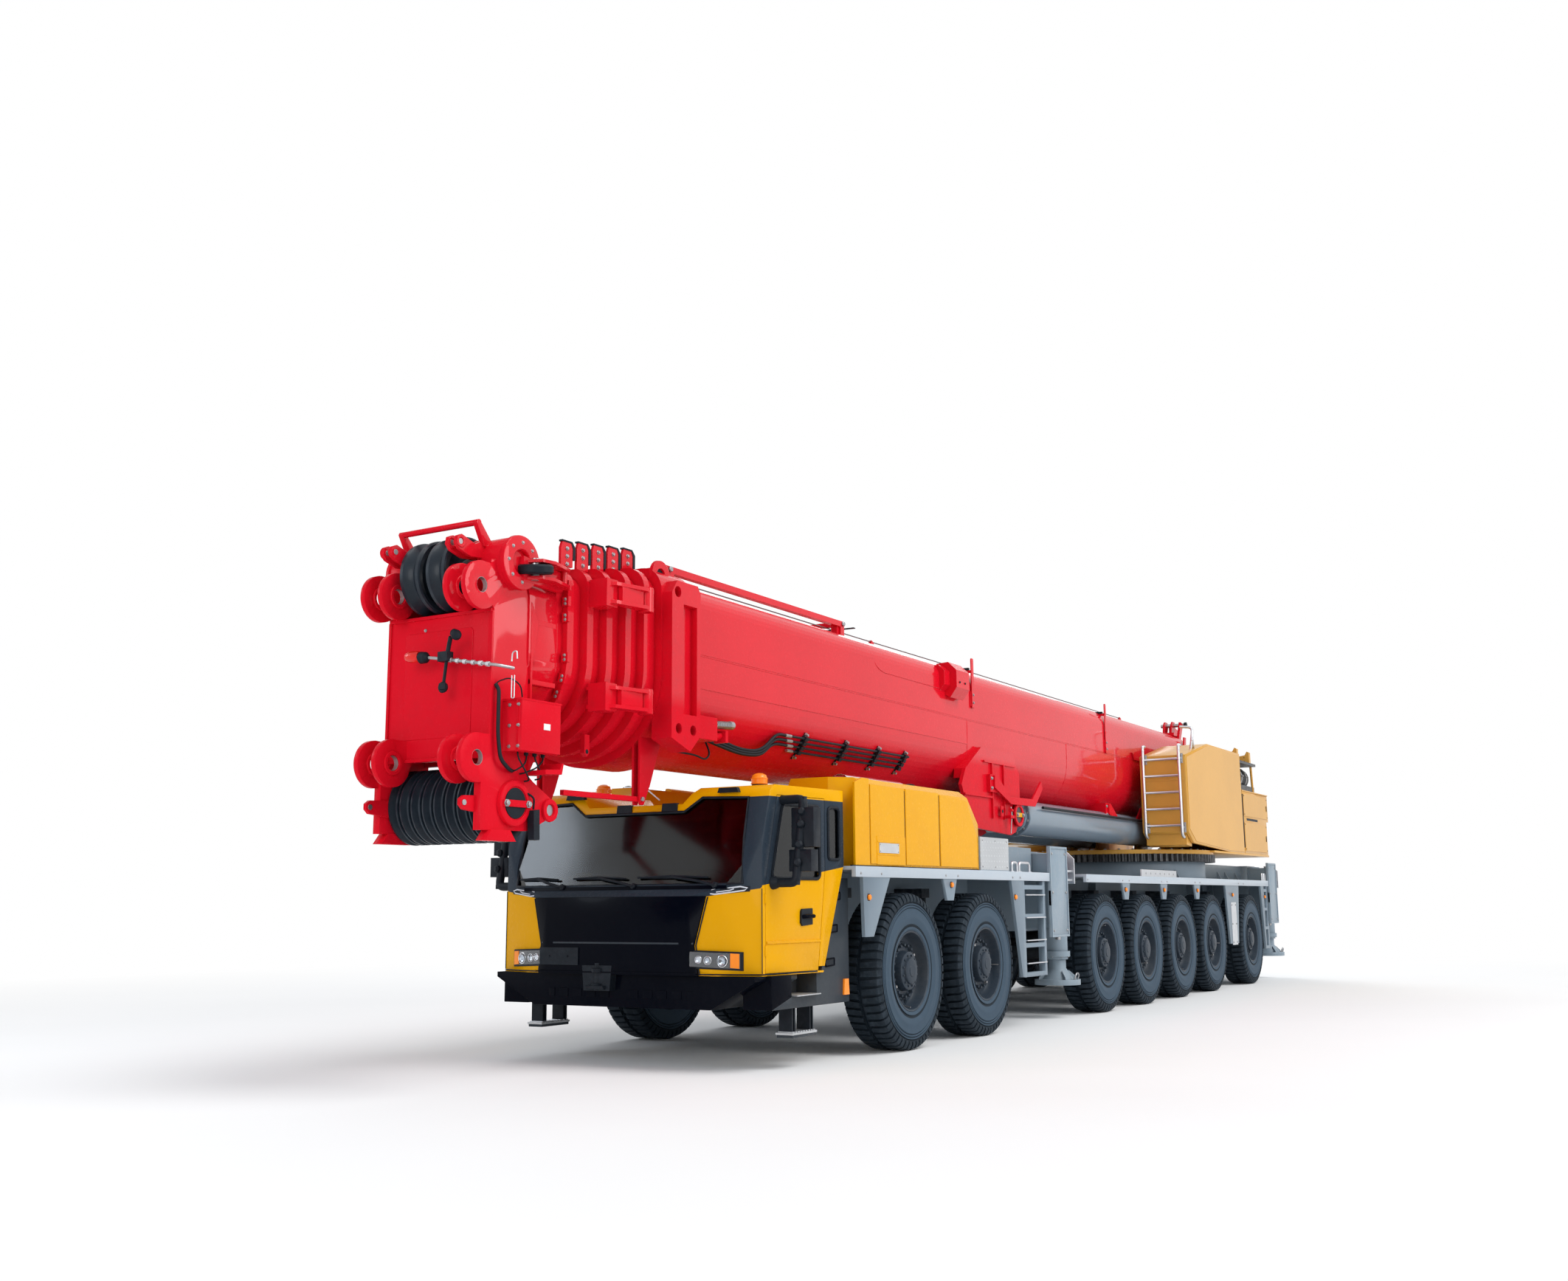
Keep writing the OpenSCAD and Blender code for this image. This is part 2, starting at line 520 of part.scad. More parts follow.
// Turntable with the cheeks that hold the boom's foot pin
module turntable() color([0.90, 0.62, 0.15]) upper() {
    translate([-10300, 0, plate_top - 60]) cylinder(r = ring_r - 20, h = 60);
    box(-13650, -10300, -house_width / 2, house_width / 2, plate_top - 30, plate_top);
    both() xz([[-12900, plate_top - 1], [-11000, plate_top - 1], [-11300, 2500], [-11750, foot_pin_z + 300], [-12400, foot_pin_z + 300],
        [-12700, 2700]], boom_half + 30, boom_half + 90);
    translate([pin_x, 0, foot_pin_z]) ybar(120, -boom_half - 100, boom_half + 100);
    both() for (y = [lift_y - 215, lift_y + 175]) xz([[lift_back - 300, plate_top - 1], [lift_back + 300, plate_top - 1],
        [lift_back + 130, lift_z + 150], [lift_back - 130, lift_z + 150]], y, y + 40);
    both() translate([lift_back, 0, lift_z]) ybar(75, lift_y - 200, lift_y + 200);
    both() difference() {
        box(-13330, -13030, 520, 560, plate_top - 1, 2620);
        translate([-13180, 0, 2500]) ybar(60 + pin_fit, 500, 600);
    }
}
module cover(points, y0, y1, d) difference() {
    xz(points, y0, y1);
    translate([0, 0, -d]) intersection() {
        xz(points, y0 + d, y1 - d);
        translate([d, 0, 0]) xz(points, y0 + d, y1 - d);
        translate([-d, 0, 0]) xz(points, y0 + d, y1 - d);
    }
}
module house_covers() color([0.90, 0.62, 0.15]) upper() {
    cover_in = boom_half + 130;
    out = house_width / 2;
    cover([[-12060, plate_top], [-11250, plate_top], [-9240, 2090], [-9000, 2240], [-9000, 3330], [-10170, house_top],
        [-12060, house_top]], cover_in, out, 40);
    cover([[-12060, plate_top], [-9900, plate_top], [-9900, house_top], [-12060, house_top]], -out, -cover_in, 40);
    both() cover([[-13600, plate_top], [-12090, plate_top], [-12090, 3000], [-13720, 3000], [-13720, 2560], [-13600, 2560]],
        cover_in + 60, out, 40);
    for (y = [cover_in + 70, out - 70]) {
        translate([-8930, y, 2230]) cylinder(r = 20, h = 1180);
        for (z = [2300, 3280]) translate([0, y, z]) xbar(18, -9010, -8930);
    }
    for (i = [0 : 4]) translate([-8930, 0, 2330 + i * 235]) ybar(17, cover_in + 70, out - 70);
}
module upper_engine() color([0.42, 0.43, 0.45]) upper() {
    box(-13400, -12150, 900, 1330, 3000, 3130);
    translate([0, 1120, 3260]) xbar(150, -13300, -12300);
    for (x = [-13150, -12800, -12450]) translate([0, 1120, 3260]) xbar(175, x - 60, x + 60);
    box(-12500, -12350, 1050, 1190, 3000, 3200);
    box(-13200, -13050, 1050, 1190, 3000, 3200);
    both() box(-13250, -12060, boom_half + 150, house_width / 2 - 40, 3460, 3500);
    both() for (x = [-13200, -12160]) box(x - 40, x + 40, boom_half + 160, boom_half + 240, 3000, 3461);
}
module op_form(d) xz([[-9750 + d, 2100 + d], [-8350 - d, 2100 + d], [-8050 - d, 2400], [-8150 - d, 3150], [-8500 - d, 3500 - d], [-9750 + d, 3500 - d]],
    -op_out + d, -op_in - d);
op_front = [[60 - op_out, 2480], [-op_in - 60, 2480], [-op_in - 60, 3080], [60 - op_out, 3080]];
op_side = [[-9600, 2560], [-8260, 2560], [-8340, 3120], [-8560, 3380], [-9600, 3380]];
module operator_cab() color([0.90, 0.62, 0.15]) upper() {
    difference() {
        op_form(0);
        op_form(40);
        yz(op_front, -8600, -8000);
        xz(op_side, -op_out - 50, 70 - op_out);
    }
    box(-9500, -8950, 100 - op_out, -op_in - 100, 2140, 2560);
    box(-9500, -9400, 100 - op_out, -op_in - 100, 2559, 3150);
    box(-9700, -9650, 50 - op_out, -op_in - 60, plate_top, 2101);
    box(-9890, -9749, 50 - op_out, -op_in - 60, plate_top, 2300);
}
module operator_glass() color([0.12, 0.15, 0.18]) upper() difference() {
    intersection() {
        difference() {
            op_form(12);
            op_form(20);
        }
        union() {
            yz(op_front, -8600, -8000);
            xz(op_side, -op_out - 50, 70 - op_out);
        }
    }
}
module winch_drum() color([0.30, 0.31, 0.33]) upper() translate([-13180, 0, 2500]) {
    ybar(250, -480, 480);
    both() ybar(380, 440, 480);
    ybar(60, -575, 575);
}

// Twin lift cylinders
module cylinder_barrels() color([0.50, 0.52, 0.55]) upper() both() translate([0, lift_y, lift_z]) difference() {
    union() {
        xbar(barrel_r, lift_back + 330, lift_front - 450);
        translate([lift_front - 451, 0, 0]) rotate([0, 90, 0]) cylinder(r = barrel_r - 25, h = 120);
        ybar_at(lift_back, 205, -165, 165);
        translate([lift_back, -165, -120]) cube([400, 330, 240]);
    }
    ybar_at(lift_back, 75 + pin_fit, -300, 300);
    xbar(rod_r + 0.3, lift_back + 450, lift_front - 300);
}
module ybar_at(x, r, y0, y1) translate([x, 0, 0]) ybar(r, y0, y1);
module cylinder_rods() color([0.70, 0.72, 0.74]) upper() both() translate([0, lift_y, lift_z]) {
    xbar(rod_r, lift_back + 550, lift_front - 100);
    ybar_at(lift_front, 190, -162, 162);
}

// Boom
module tube(k, x0, x1) difference() {
    yz(boom_line(tube_half(k), tube_top(k), 200 - 12 * k), x0, x1);
    yz(boom_line(tube_half(k) - section_wall, tube_top(k) - section_wall, 200 - 12 * k - section_wall), x0 - 10, x1 + 10);
}
module collar(k, grow, x0, x1) difference() {
    yz(boom_line(tube_half(k) + grow, tube_top(k) + grow * 0.6, 200 - 12 * k), x0, x1);
    yz(boom_line(tube_half(k) - section_wall, tube_top(k) - section_wall, 200 - 12 * k - section_wall), x0 - 10, x1 + 10);
}
module boom_base() color([0.78, 0.06, 0.10]) upper() difference() {
    union() {
        yz(boom_line(tube_half(0), tube_top(0), 200), pin_x + 260, base_front - 1);
        yz(boom_line(tube_half(0) + 60, tube_top(0) + 36, 200), base_front - 420, base_front);
        both() xz([[pin_x - 340, foot_pin_z - 200], [pin_x - 200, foot_pin_z - 330], [pin_x + 700, foot_pin_z - 330],
            [pin_x + 700, foot_pin_z + 400], [pin_x - 200, foot_pin_z + 260], [pin_x - 340, foot_pin_z + 120]],
            boom_half - 60, boom_half);
        translate([pin_x, 0, foot_pin_z]) ybar(190, -boom_half, boom_half);
        both() for (y = [lift_y - 210, lift_y + 170]) difference() {
            xz([[-2900, 2560], [-2980, 2420], [-3300, 2095], [-4270, 2050], [-4420, 2090], [-4610, 2290], [-4580, 2470], [-4573, 2777],
                [-3020, 2747]], y, y + 40);
            translate([lift_front, 0, lift_z]) ybar(95, y - 10, y + 50);
        }
        both() xz([[-3020, 2747], [-3467, 3016], [-4400, 3012], [-4573, 2777], [-4560, 2640], [-3000, 2640]], boom_half - 90, lift_y + 210);
        both() xz([[-2980, 2420], [-3300, 2095], [-3330, 2095], [-3330, 2420]], lift_y - 210, lift_y + 210);
        both() difference() {
            xz([[base_front - 20, 2560], [base_front - 20, 3720], [base_front - 90, 3820], [2420, 3820], [2380, 3760], [2380, 2600], [2520, 2470]],
                boom_half - 40, boom_half + 150);
            for (p = [[2700, 3730, 45], [2680, 2640, 42], [2480, 2640, 42]]) translate([p[0], 0, p[1]]) ybar(p[2], boom_half - 60, boom_half + 200);
            box(2430, 2620, boom_half + 90, boom_half + 200, 2760, 3640);
        }
        both() {
            box(-650, 2420, 430, 490, 3985, 4040);
            for (x = [-650, 2300]) box(x, x + 70, 430, 490, boom_top - 15, 3990);
        }
        for (x = [-640, 2360]) box(x, x + 60, -480, 480, 3990, 4035);
    }
    yz(boom_line(tube_half(0) - section_wall, tube_top(0) - section_wall, 200 - section_wall), pin_x + 250, base_front + 10);
    translate([pin_x, 0, foot_pin_z]) ybar(120 + pin_fit, -boom_half - 200, boom_half + 200);
}
module tele(k) {
    front = base_front + k * collar_length;
    tube(k, -11500, front - 1);
    collar(k, 30, front - collar_length, front - 70);
    collar(k, 66, front - 71, front);
}
module section_1() color([0.78, 0.06, 0.10]) upper() tele(1);
module section_2() color([0.78, 0.06, 0.10]) upper() tele(2);
module section_3() color([0.78, 0.06, 0.10]) upper() tele(3);
module section_4() color([0.78, 0.06, 0.10]) upper() tele(4);
module section_5() color([0.78, 0.06, 0.10]) upper() tele(5);
module lug(z, y) difference() {
    union() {
        translate([lug_x, 0, z]) ybar(170, y, y + 40);
        box(4440, lug_x, y, y + 40, z - 15, z + 168);
    }
    translate([lug_x, 0, z]) ybar(lug_bore_r, y - 10, y + 50);
}
module section_6() color([0.78, 0.06, 0.10]) upper() {
    tube(6, -11500, 4100);
    collar(6, 56, head_x, head_x + 80);
}
module boom_head() color([0.78, 0.06, 0.10]) upper() {
    cheek = 500;
    difference() {
        yz(boom_line(tube_half(6) + 70, tube_top(6) - 60, 160), head_x + 80, 4140);
        yz(boom_line(tube_half(6), tube_top(6), 128), head_x + 40, 4100);
        yz(boom_line(tube_half(6) - 80, tube_top(6) - 180, 60), head_x + 40, 4200);
    }
    both() xz([[4120, 2200], [4050, 2150], [3830, 2030], [3790, 1960], [3830, 1890], [3900, 1880], [4080, 1800], [4590, 1790], [4590, 2150],
        [4500, 2290], [4500, 3330], [4560, 3420], [4540, 3680], [4330, 3700], [4180, 3600], [4120, 3400]], cheek - 60, cheek);
    box(4440, 4500, -cheek, cheek, 2290, 3330);
    box(4120, 4160, -cheek, cheek, 2290, 3330);
    both() for (z = [2280, 3480]) for (y = [290, cheek - 40]) lug(z, y);
    translate([4260, 0, 1985]) ybar(60, -cheek, cheek);
    translate([4260, 0, 1985]) both() ybar(125, cheek - 1, cheek + 25);
    translate([4440, 0, 3620]) ybar(60, -cheek, cheek);
    translate([4300, 0, 3690]) both() ybar(190, 320, cheek + 40);
    both() xz([[4500, 1795], [4560, 1720], [4250, 1720], [4310, 1795]], cheek - 62, cheek + 30);
    xz([[4380, 2340], [3960, 2340], [3960, 2690], [4380, 2690]], cheek - 1, cheek + 170);
    both() xz([[4290, 3560], [4290, 3740], [3860, 3690], [3800, 3620], [3860, 3550]], cheek + 20, cheek + 80);
    for (y = [-380, 340]) xz([[4420, 3850], [4540, 3980], [4570, 3960], [4480, 3800], [4330, 3780]], y, y + 40);
    translate([4545, 0, 3960]) ybar(22, -380, 380);
}
module sheave(y, w) ybar_at(0, sheave_r, y - w / 2, y + w / 2);
module top_sheaves() color([0.14, 0.14, 0.15]) upper() translate([4440, 0, 3620]) difference() {
    union() {
        sheave(-125, 190);
        sheave(125, 190);
        ybar(110, -262, 262);
    }
    ybar(60 + pin_fit, -500, 500);
}
module lower_sheaves() color([0.14, 0.14, 0.15]) upper() translate([4260, 0, 1985]) difference() {
    union() {
        for (i = [0 : 7]) sheave(-378 + i * 108, 70);
        ybar(110, -425, 425);
    }
    ybar(60 + pin_fit, -500, 500);
}

chassis_frame();
axle_beams();
carrier_deck();
cab_shell();
cab_front();
cab_glass();
cab_interior();
engine_hood();
carrier_engine();
slewing_ring();
door_left();
door_right();
door_glass_left();
door_glass_right();
knuckle_1_left();
knuckle_1_right();
knuckle_2_left();
knuckle_2_right();
knuckle_7_left();
knuckle_7_right();
wheel_1_left();
wheel_1_right();
wheel_2_left();
wheel_2_right();
wheel_3_left();
wheel_3_right();
wheel_4_left();
wheel_4_right();
wheel_5_left();
wheel_5_right();
wheel_6_left();
wheel_6_right();
wheel_7_left();
wheel_7_right();
beam_front_left();
beam_front_right();
beam_rear_left();
beam_rear_right();
jack_front_left();
jack_front_right();
jack_rear_left();
jack_rear_right();
turntable();
house_covers();
upper_engine();
operator_cab();
operator_glass();
winch_drum();
cylinder_barrels();
cylinder_rods();
boom_base();
section_1();
section_2();
section_3();
section_4();
section_5();
section_6();
boom_head();
top_sheaves();
lower_sheaves();
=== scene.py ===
"""Mobile crane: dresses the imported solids, with light, floor and the photograph's camera."""
import json
import math

import bmesh
import bpy
from mathutils import Matrix, Vector


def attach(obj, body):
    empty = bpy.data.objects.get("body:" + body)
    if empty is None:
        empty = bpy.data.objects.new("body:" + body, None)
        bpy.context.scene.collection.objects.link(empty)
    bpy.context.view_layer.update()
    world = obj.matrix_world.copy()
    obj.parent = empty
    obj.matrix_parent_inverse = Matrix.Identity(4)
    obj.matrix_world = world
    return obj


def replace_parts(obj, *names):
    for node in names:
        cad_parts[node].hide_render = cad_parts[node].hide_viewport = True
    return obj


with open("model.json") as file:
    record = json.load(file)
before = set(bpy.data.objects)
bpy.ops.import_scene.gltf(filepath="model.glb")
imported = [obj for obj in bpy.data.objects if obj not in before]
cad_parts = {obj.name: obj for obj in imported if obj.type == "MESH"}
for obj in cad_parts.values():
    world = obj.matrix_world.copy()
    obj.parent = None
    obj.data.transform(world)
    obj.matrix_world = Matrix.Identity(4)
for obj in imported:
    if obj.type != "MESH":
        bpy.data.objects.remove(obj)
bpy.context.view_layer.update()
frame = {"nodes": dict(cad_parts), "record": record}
NODES = frame["nodes"]
ROW = 4.82  # places below are measured from the first axle, the row's origin lies this far behind it


# Camera, at the photograph's place
CAMERA_PLACE = (12.389 + ROW, 7.547, 1.288)
CAMERA_TURN = (210.74, 9.84, -0.41)  # yaw, pitch and roll in degrees
CAMERA_LENS, CAMERA_SENSOR = 34.73, 36.0  # millimetres


def photo_camera():
    """Makes the camera and looks through it."""
    place = Vector(CAMERA_PLACE)
    yaw, pitch, roll = (math.radians(turn) for turn in CAMERA_TURN)
    look = Vector((math.cos(pitch) * math.cos(yaw), math.cos(pitch) * math.sin(yaw), math.sin(pitch)))
    data = bpy.data.cameras.new("photo_camera")
    data.sensor_fit = "HORIZONTAL"
    data.sensor_width = CAMERA_SENSOR
    data.lens = CAMERA_LENS
    data.clip_end = 400.0
    cam = bpy.data.objects.new("photo_camera", data)
    cam.matrix_world = Matrix.Translation(place) @ (
        look.to_track_quat("-Z", "Y").to_matrix() @ Matrix.Rotation(roll, 3, "Z")).to_4x4()
    bpy.context.scene.collection.objects.link(cam)
    bpy.context.scene.camera = cam


photo_camera()


# Shapes: each gives corner points, in metres from the first axle, and faces
AHEAD, LEFT, UP = (1, 0, 0), (0, 1, 0), (0, 0, 1)
SIDES = (("left", 1), ("right", -1))


def circle(n, shift=0.0):
    """Angles of n places evenly round a circle."""
    return [2 * math.pi * (k + shift) / n for k in range(n)]


def prism_faces(n):
    """Faces of a form with two ends of n corners each."""
    ends = [tuple(range(n)), tuple(range(2 * n - 1, n - 1, -1))]
    return ends + [(i, (i + 1) % n, n + (i + 1) % n, n + i) for i in range(n)]


def tube_faces(rings, n):
    """Faces between rings of n corners each."""
    return [(i * n + k, i * n + (k + 1) % n, (i + 1) * n + (k + 1) % n, (i + 1) * n + k)
            for i in range(rings - 1) for k in range(n)]


def capped_tube(rings, n):
    """The same, closed at both ends."""
    last = (rings - 1) * n
    return tube_faces(rings, n) + [tuple(range(n - 1, -1, -1)), tuple(range(last, last + n))]


def brick(x0, x1, y0, y1, z0, z1):
    """A box between two corners."""
    v = [(x, y, z) for x in (x0, x1) for y in (y0, y1) for z in (z0, z1)]
    return v, [(0, 1, 3, 2), (4, 6, 7, 5), (0, 4, 5, 1), (2, 3, 7, 6), (0, 2, 6, 4), (1, 5, 7, 3)]


def slab(points, axis, a, b):
    """A flat plate: an outline across the axis, from a to b along it."""
    k = "xyz".index(axis)
    v = [(*p[:k], depth, *p[k:]) for depth in (a, b) for p in points]
    return v, prism_faces(len(points))


def frame_of(axis):
    """The axis and two directions square to it, each of length one."""
    axis = Vector(axis).normalized()
    side = axis.cross(Vector(UP) if abs(axis.z) < 0.9 else Vector(AHEAD)).normalized()
    return axis, side, axis.cross(side)


def turned(profile, centre, axis, n=32):
    """A turned form: (along, radius) pairs about an axis, closed at both ends."""
    axis, u, w = frame_of(axis)
    centre = Vector(centre)
    v = [centre + axis * along + (u * math.cos(t) + w * math.sin(t)) * r for along, r in profile for t in circle(n)]
    return v, capped_tube(len(profile), n)


def ring(profile, centre, axis, n=32):
    """A turned form closed on itself, such as a tyre or a collar."""
    v, f = turned(profile, centre, axis, n)
    last = (len(profile) - 1) * n
    return v, f[:-2] + [(last + k, last + (k + 1) % n, (k + 1) % n, k) for k in range(n)]


def rod(p, q, r, n=14):
    """A straight round bar between two points."""
    p, q = Vector(p), Vector(q)
    return turned([(0, r), ((q - p).length, r)], p, q - p, n)


def rounded(path, reach, steps=4):
    """The path with its corners rounded off."""
    pts = [Vector(p) for p in path]
    out = [pts[0]]
    for a, b, c in zip(pts, pts[1:], pts[2:]):
        r = min(reach, (a - b).length * 0.45, (c - b).length * 0.45)
        s, e = b + (a - b).normalized() * r, b + (c - b).normalized() * r
        out += [s.lerp(b, t).lerp(b.lerp(e, t), t) for t in (k / steps for k in range(steps + 1))]
    return out + [pts[-1]]


def run(path, r, n=10, reach=0.0):
    """A round bar or pipe that follows a path."""
    pts = rounded(path, reach) if reach else [Vector(p) for p in path]
    v, u = [], None
    for i, p in enumerate(pts):
        t = (pts[min(i + 1, len(pts) - 1)] - pts[max(i - 1, 0)]).normalized()
        u = frame_of(t)[1] if u is None else (u - t * u.dot(t)).normalized()
        w = t.cross(u)
        v += [p + (u * math.cos(a) + w * math.sin(a)) * r for a in circle(n)]
    return v, capped_tube(len(pts), n)


def bolt(p, axis, r=0.016, h=0.014):
    """A hexagon head on a washer."""
    return turned([(0, r * 1.35), (h * 0.25, r * 1.35), (h * 0.26, r), (h * 0.85, r), (h, r * 0.8)], p, axis, 6)


def cushion(centre, half, up, n=18):
    """A stuffed pad: crowned faces, corners drawn in, and two sewn channels on its up side."""
    crown, seam_depth, seam_place, seam_width = 0.26, 0.14, 0.52, 0.06
    grid = [2 * k / n - 1 for k in range(n + 1)]
    spots, f = {}, []

    def spot(axis, end, a, b):
        p = [0.0, 0.0, 0.0]
        p[axis], p[(axis + 1) % 3], p[(axis + 2) % 3] = end, a, b
        sewn = 0.0
        if abs(p[up]) == 1:
            sewn = p[up] * seam_depth * math.exp(-((abs(p[1]) - seam_place) / seam_width) ** 2)
        ball = [p[k] * math.sqrt(1 - p[k - 1] ** 2 / 2 - p[k - 2] ** 2 / 2 + (p[k - 1] * p[k - 2]) ** 2 / 3)
                for k in range(3)]
        p = [(1 - crown) * c + crown * d for c, d in zip(p, ball)]
        p[up] -= sewn
        return spots.setdefault(tuple(round(m + h * c, 5) for m, h, c in zip(centre, half, p)), len(spots))

    for axis in range(3):
        for end in (-1, 1):
            f += [tuple(spot(axis, end, grid[i + di], grid[j + dj]) for di, dj in ((0, 0), (1, 0), (1, 1), (0, 1)))
                  for i in range(n) for j in range(n)]
    return list(spots), f


def grown(shape, matrix):
    """The shape moved, turned or mirrored."""
    return [matrix @ Vector(p) for p in shape[0]], shape[1]


class Piece:
    """Gathers the shapes of one visible piece, which then rides on a body."""

    def __init__(self, name, body, slot, *finishes):
        self.name, self.body, self.slot, self.finishes = name, body, slot, finishes
        self.v, self.f, self.m = [], [], []

    def add(self, shape, both=False, mat=0):
        """Takes in a shape, mirrored to the other side too where both is set."""
        for side in ((1, -1) if both else (1,)):
            base = len(self.v)
            self.v += [(p[0] + ROW, p[1] * side, p[2]) for p in shape[0]]
            self.f += [tuple(base + k for k in face) for face in shape[1]]
            self.m += [mat] * len(shape[1])

    def mesh(self, angle=34):
        """One mesh of all the shapes."""
        mesh = bpy.data.meshes.new(self.name)
        mesh.from_pydata(self.v, [], self.f)
        bm = bmesh.new()
        bm.from_mesh(mesh)
        bm.faces.ensure_lookup_table()
        for face, k in zip(bm.faces, self.m):
            face.material_index = k
        bmesh.ops.recalc_face_normals(bm, faces=bm.faces[:])
        bm.to_mesh(mesh)
        bm.free()
        for finish in self.finishes:
            mesh.materials.append(finish)
        soften(mesh, angle)
        return mesh

    def done(self, bevel=0.0):
        """Makes the piece, with its edges eased by the bevel."""
        obj = bpy.data.objects.new(self.name, self.mesh())
        bpy.context.scene.collection.objects.link(obj)
        if bevel:
            ease(obj, bevel)
        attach(obj, self.body)
        return obj


def soften(mesh, angle):
    """Smooth shading, with edges kept sharp above the angle in degrees."""
    mesh.polygons.foreach_set("use_smooth", [True] * len(mesh.polygons))
    mesh.set_sharp_from_angle(angle=math.radians(angle))
    mesh.update()


def ease(obj, width):
    """Rounds the sharp edges a little, as on real plate."""
    b = obj.modifiers.new("eased_edges", "BEVEL")
    b.width = width
    b.segments = 2
    b.limit_method = "ANGLE"
    b.angle_limit = math.radians(38)
    b.harden_normals = True
    b.use_clamp_overlap = True


def hose(name, body, path, r, reach, finish=None):
    """A cable, hose or rope along a path, held at both ends."""
    pts = [Vector(p) + Vector((ROW, 0, 0)) for p in (rounded(path, reach, 5) if reach else path)]
    curve = bpy.data.curves.new(name, "CURVE")
    curve.dimensions = "3D"
    curve.bevel_depth = r
    curve.bevel_resolution = 3
    curve.use_fill_caps = True
    line = curve.splines.new("POLY")
    line.points.add(len(pts) - 1)
    for spot, p in zip(line.points, pts):
        spot.co = (p.x, p.y, p.z, 1)
    curve.materials.append(finish or hose_rubber)
    obj = bpy.data.objects.new(name, curve)
    bpy.context.scene.collection.objects.link(obj)
    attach(obj, body)


# Finishes
def put(tree, kind, **values):
    """A new shader node."""
    node = tree.nodes.new("ShaderNode" + kind)
    for key, value in values.items():
        setattr(node, key, value)
    return node


def feed(tree, source, socket):
    """Sets a plain number or colour on a socket, or links another node's output to it."""
    if isinstance(source, (int, float)):
        socket.default_value = source
    elif isinstance(source, tuple):
        socket.default_value = source if len(source) == 4 else (*source, 1.0)
    else:
        tree.links.new(source, socket)


def calc(tree, how, a, b=0.0, clamp=False):
    node = put(tree, "Math", operation=how, use_clamp=clamp)
    feed(tree, a, node.inputs[0])
    feed(tree, b, node.inputs[1])
    return node.outputs[0]


def blend_colour(tree, fac, a, b):
    node = put(tree, "Mix", data_type="RGBA")
    feed(tree, fac, node.inputs[0])
    feed(tree, a, node.inputs[6])
    feed(tree, b, node.inputs[7])
    return node.outputs[2]


def noise(tree, where, scale, detail=3.0, rough=0.55):
    node = put(tree, "TexNoise")
    tree.links.new(where, node.inputs["Vector"])
    feed(tree, scale, node.inputs["Scale"])
    node.inputs["Detail"].default_value = detail
    node.inputs["Roughness"].default_value = rough
    return node.outputs[0]


def span(tree, value, low, high):
    """0 below low, 1 above high, straight in between."""
    node = put(tree, "MapRange")
    node.clamp = True
    feed(tree, value, node.inputs[0])
    node.inputs[1].default_value = low
    node.inputs[2].default_value = high
    return node.outputs[0]


def new_group(name, ins, outs):
    g = bpy.data.node_groups.new(name, "ShaderNodeTree")
    for label, kind, value in ins:
        g.interface.new_socket(name=label, in_out="INPUT", socket_type="NodeSocket" + kind).default_value = value
    for label, kind in outs:
        g.interface.new_socket(name=label, in_out="OUTPUT", socket_type="NodeSocket" + kind)
    return g, g.nodes.new("NodeGroupInput").outputs, g.nodes.new("NodeGroupOutput").inputs


def make_road_dust():
    """Mottled paint with dust on what faces up and road dirt near the ground."""
    g, i, o = new_group("road_dust", [("Paint", "Color", (1, 1, 1, 1)), ("Shade", "Color", (0.8, 0.8, 0.8, 1)),
        ("Dust", "Color", (0.32, 0.30, 0.27, 1)), ("Amount", "Float", 0.3), ("Mottle", "Float", 1.2),
        ("Gloss", "Float", 0.25)],
        [("Colour", "Color"), ("Roughness", "Float"), ("Height", "Float")])
    where = put(g, "TexCoord")
    place, facing = put(g, "SeparateXYZ"), put(g, "SeparateXYZ")
    g.links.new(where.outputs["Object"], place.inputs[0])
    g.links.new(where.outputs["Normal"], facing.inputs[0])
    broad = noise(g, where.outputs["Object"], i["Mottle"], 4.0)
    fine = noise(g, where.outputs["Object"], 26.0, 5.0, 0.7)
    tone = blend_colour(g, calc(g, "MULTIPLY", span(g, broad, 0.35, 0.7), 0.55), i["Paint"], i["Shade"])
    up = span(g, facing.outputs[2], 0.35, 1.0)
    low = span(g, place.outputs[2], 1.5, 0.3)
    film = calc(g, "MULTIPLY", calc(g, "ADD", calc(g, "MULTIPLY", up, 0.5), calc(g, "MULTIPLY", low, 0.7)),
                i["Amount"])
    film = calc(g, "MULTIPLY", film, span(g, calc(g, "ADD", broad, calc(g, "MULTIPLY", fine, 0.6)), 0.55, 1.0), True)
    g.links.new(blend_colour(g, film, tone, i["Dust"]), o["Colour"])
    rough = calc(g, "ADD", i["Gloss"], calc(g, "MULTIPLY", film, 0.45))
    g.links.new(calc(g, "ADD", rough, calc(g, "MULTIPLY", span(g, fine, 0.3, 0.8), 0.06), True), o["Roughness"])
    g.links.new(calc(g, "ADD", calc(g, "MULTIPLY", fine, 0.6), broad), o["Height"])
    return g


def make_rubbed_edges():
    """A mask of the edges that hands, boots and ropes rub bare."""
    g, i, o = new_group("rubbed_edges", [("Amount", "Float", 0.3), ("Breakup", "Float", 14.0)], [("Mask", "Float")])
    where = put(g, "TexCoord")
    edge = span(g, put(g, "NewGeometry").outputs["Pointiness"], 0.53, 0.60)
    spots = span(g, noise(g, where.outputs["Object"], i["Breakup"], 5.0, 0.7), 0.45, 0.72)
    g.links.new(calc(g, "MULTIPLY", calc(g, "MULTIPLY", edge, spots), i["Amount"], True), o["Mask"])
    return g


